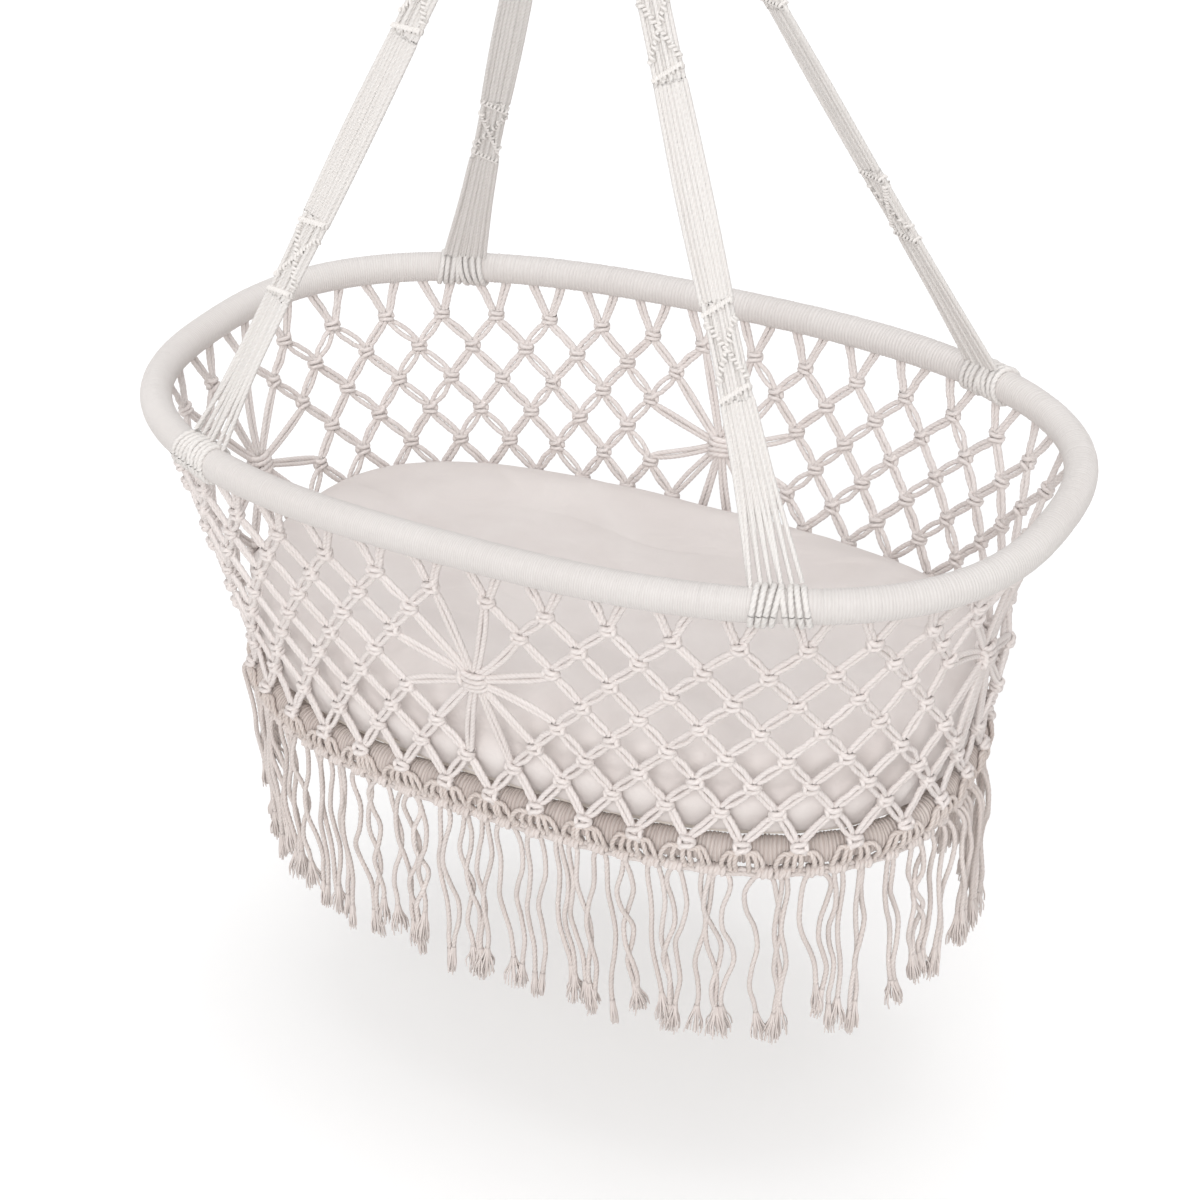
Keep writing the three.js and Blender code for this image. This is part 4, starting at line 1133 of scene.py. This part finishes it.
def filled(verts, ring, turn):
    """Closes a ring of points with an even grid: the points with the new ones after them, and the grid's faces."""
    n = len(ring) // 4
    ring = np.roll(ring, n // 2)
    grid = np.empty((n + 1, n + 1), int)
    grid[1:-1, 1:-1] = len(verts) + np.arange((n - 1) ** 2).reshape(n - 1, n - 1)
    edges = (np.append(ring, ring[0])[k * n : k * n + n + 1] for k in range(4))
    grid[0], grid[:, n], grid[n, ::-1], grid[::-1, 0] = edges
    v, u = np.meshgrid(np.arange(1, n) / n, np.arange(1, n) / n, indexing="ij")
    u, v = u[..., None], v[..., None]
    low, high, left, right = verts[grid[0, 1:-1]], verts[grid[n, 1:-1]], verts[grid[1:-1, 0]], verts[grid[1:-1, n]]
    low_edge = (1 - u) * verts[grid[0, 0]] + u * verts[grid[0, n]]
    high_edge = (1 - u) * verts[grid[n, 0]] + u * verts[grid[n, n]]
    corners = (1 - v) * low_edge + v * high_edge
    inside = (1 - v) * low[None] + v * high[None] + (1 - u) * left[:, None] + u * right[:, None] - corners
    quads = np.stack([grid[:-1, :-1], grid[:-1, 1:], grid[1:, 1:], grid[1:, :-1]], -1).reshape(-1, 4)
    return np.concatenate([verts, inside.reshape(-1, 3)]), quads[:, ::turn].tolist()


def points_of(mesh, what="co"):
    """A mesh's points, or what else they hold, one to a row."""
    values = np.empty(len(mesh.vertices) * 3)
    mesh.vertices.foreach_get(what, values)
    return values.reshape(-1, 3)


def settle(piece, cap=None):
    """Puts a piece's modifiers into its mesh, and keeps each point within its cap of where it started."""
    before = points_of(piece.data)
    made = bpy.data.meshes.new_from_object(piece.evaluated_get(bpy.context.evaluated_depsgraph_get()))
    piece.modifiers.clear()
    piece.data = made
    if cap is not None:
        moved = points_of(made) - before
        moved *= np.minimum(1, cap / np.maximum(np.linalg.norm(moved, axis=1, keepdims=True), 1e-9))
        made.vertices.foreach_set("co", (before + moved).ravel())
        made.update()


def tucked(mesh):
    """Presses the side out through the net's cells, with a few deep tucks, and gives the top shallow hollows."""
    places, normals = points_of(mesh), points_of(mesh, "normal")
    side = np.clip(1.3 - 1.6 * np.abs(normals[:, 2]), 0, 1)
    round_share = np.linspace(0, 1, 2001)
    wall = base_at(round_share)
    order = np.unwrap(np.arctan2(wall[:, 1], wall[:, 0]))
    turn = np.arctan2(places[:, 1], places[:, 0])
    turn = order[0] + (turn - order[0]) % (2 * np.pi)
    i = np.interp(turn, order, round_share) * half_columns
    row = row_at(places[:, 2])
    cell = (np.sin(np.pi * (i + row) / 2) * np.sin(np.pi * (i - row) / 2)) ** 2
    column, line = np.floor((i + row) / 2).astype(int), np.floor((i - row) / 2).astype(int)
    fill = np.sin(column * 12.9898 + line * 78.233) * 43758.5453  # its fraction is an even draw for each cell
    fill -= np.floor(fill)
    swell = np.where(fill < 0.14, -0.007, 0.0016 + 0.0022 * fill) * cell**0.8
    lower = np.clip((row - 4.2) / 0.8, 0, 1)
    places += normals * (swell * side * lower)[:, None]
    top = np.clip((normals[:, 2] - 0.6) / 0.3, 0, 1)
    x, y = places[:, 0], places[:, 1]
    hollow = np.sin(21 * x + 2.2 * np.sin(17 * y)) * np.sin(27 * y + 1.7 * np.sin(13 * x) + 1)
    places[:, 2] += 0.0016 * hollow * top
    mesh.vertices.foreach_set("co", places.ravel())
    mesh.update()


mattress_rings = mattress_points()
mattress_verts = mattress_rings.reshape(-1, 3)
grid = np.arange(len(mattress_verts)).reshape(len(mattress_rings), mattress_corners)
grid = np.concatenate([grid, grid[:, :1]], 1)
mattress_faces = np.stack([grid[:-1, :-1], grid[:-1, 1:], grid[1:, 1:], grid[1:, :-1]], -1).reshape(-1, 4).tolist()
for ring, turn in ((grid[0, :-1], -1), (grid[-1, :-1], 1)):
    mattress_verts, cap_faces = filled(mattress_verts, ring, turn)
    mattress_faces += cap_faces
mattress_mesh = bpy.data.meshes.new("mattress_pad")
mattress_mesh.from_pydata(mattress_verts.tolist(), [], mattress_faces)
mattress_mesh.update()
pad = stand("mattress_pad", mattress_mesh)
bpy.context.view_layer.objects.active = pad
cloth = pad.modifiers.new("wadding", "CLOTH")
cloth.settings.use_pressure = True
cloth.settings.uniform_pressure_force = 4
cloth.settings.quality = 4
cloth.settings.effector_weights.gravity = 0
cloth.settings.tension_stiffness = 12
cloth.settings.compression_stiffness = 6
cloth.collision_settings.use_collision = False
for step in range(1, 15):
    bpy.context.scene.frame_set(step)
inner = np.linalg.norm(mattress_verts[:, :2] / [0.33, 0.2], axis=1)
settle(pad, np.where(inner < 0.9, mattress_swell, mattress_side_swell)[:, None])
bpy.context.scene.frame_set(1)
pad.modifiers.new("fine", "SUBSURF").levels = 1
settle(pad)
tucked(pad.data)
pad.data.polygons.foreach_set("use_smooth", np.ones(len(pad.data.polygons), bool))
pad.data.materials.clear()
pad.data.materials.append(mattress_cotton())
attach(pad, "mattress")
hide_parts("mattress")
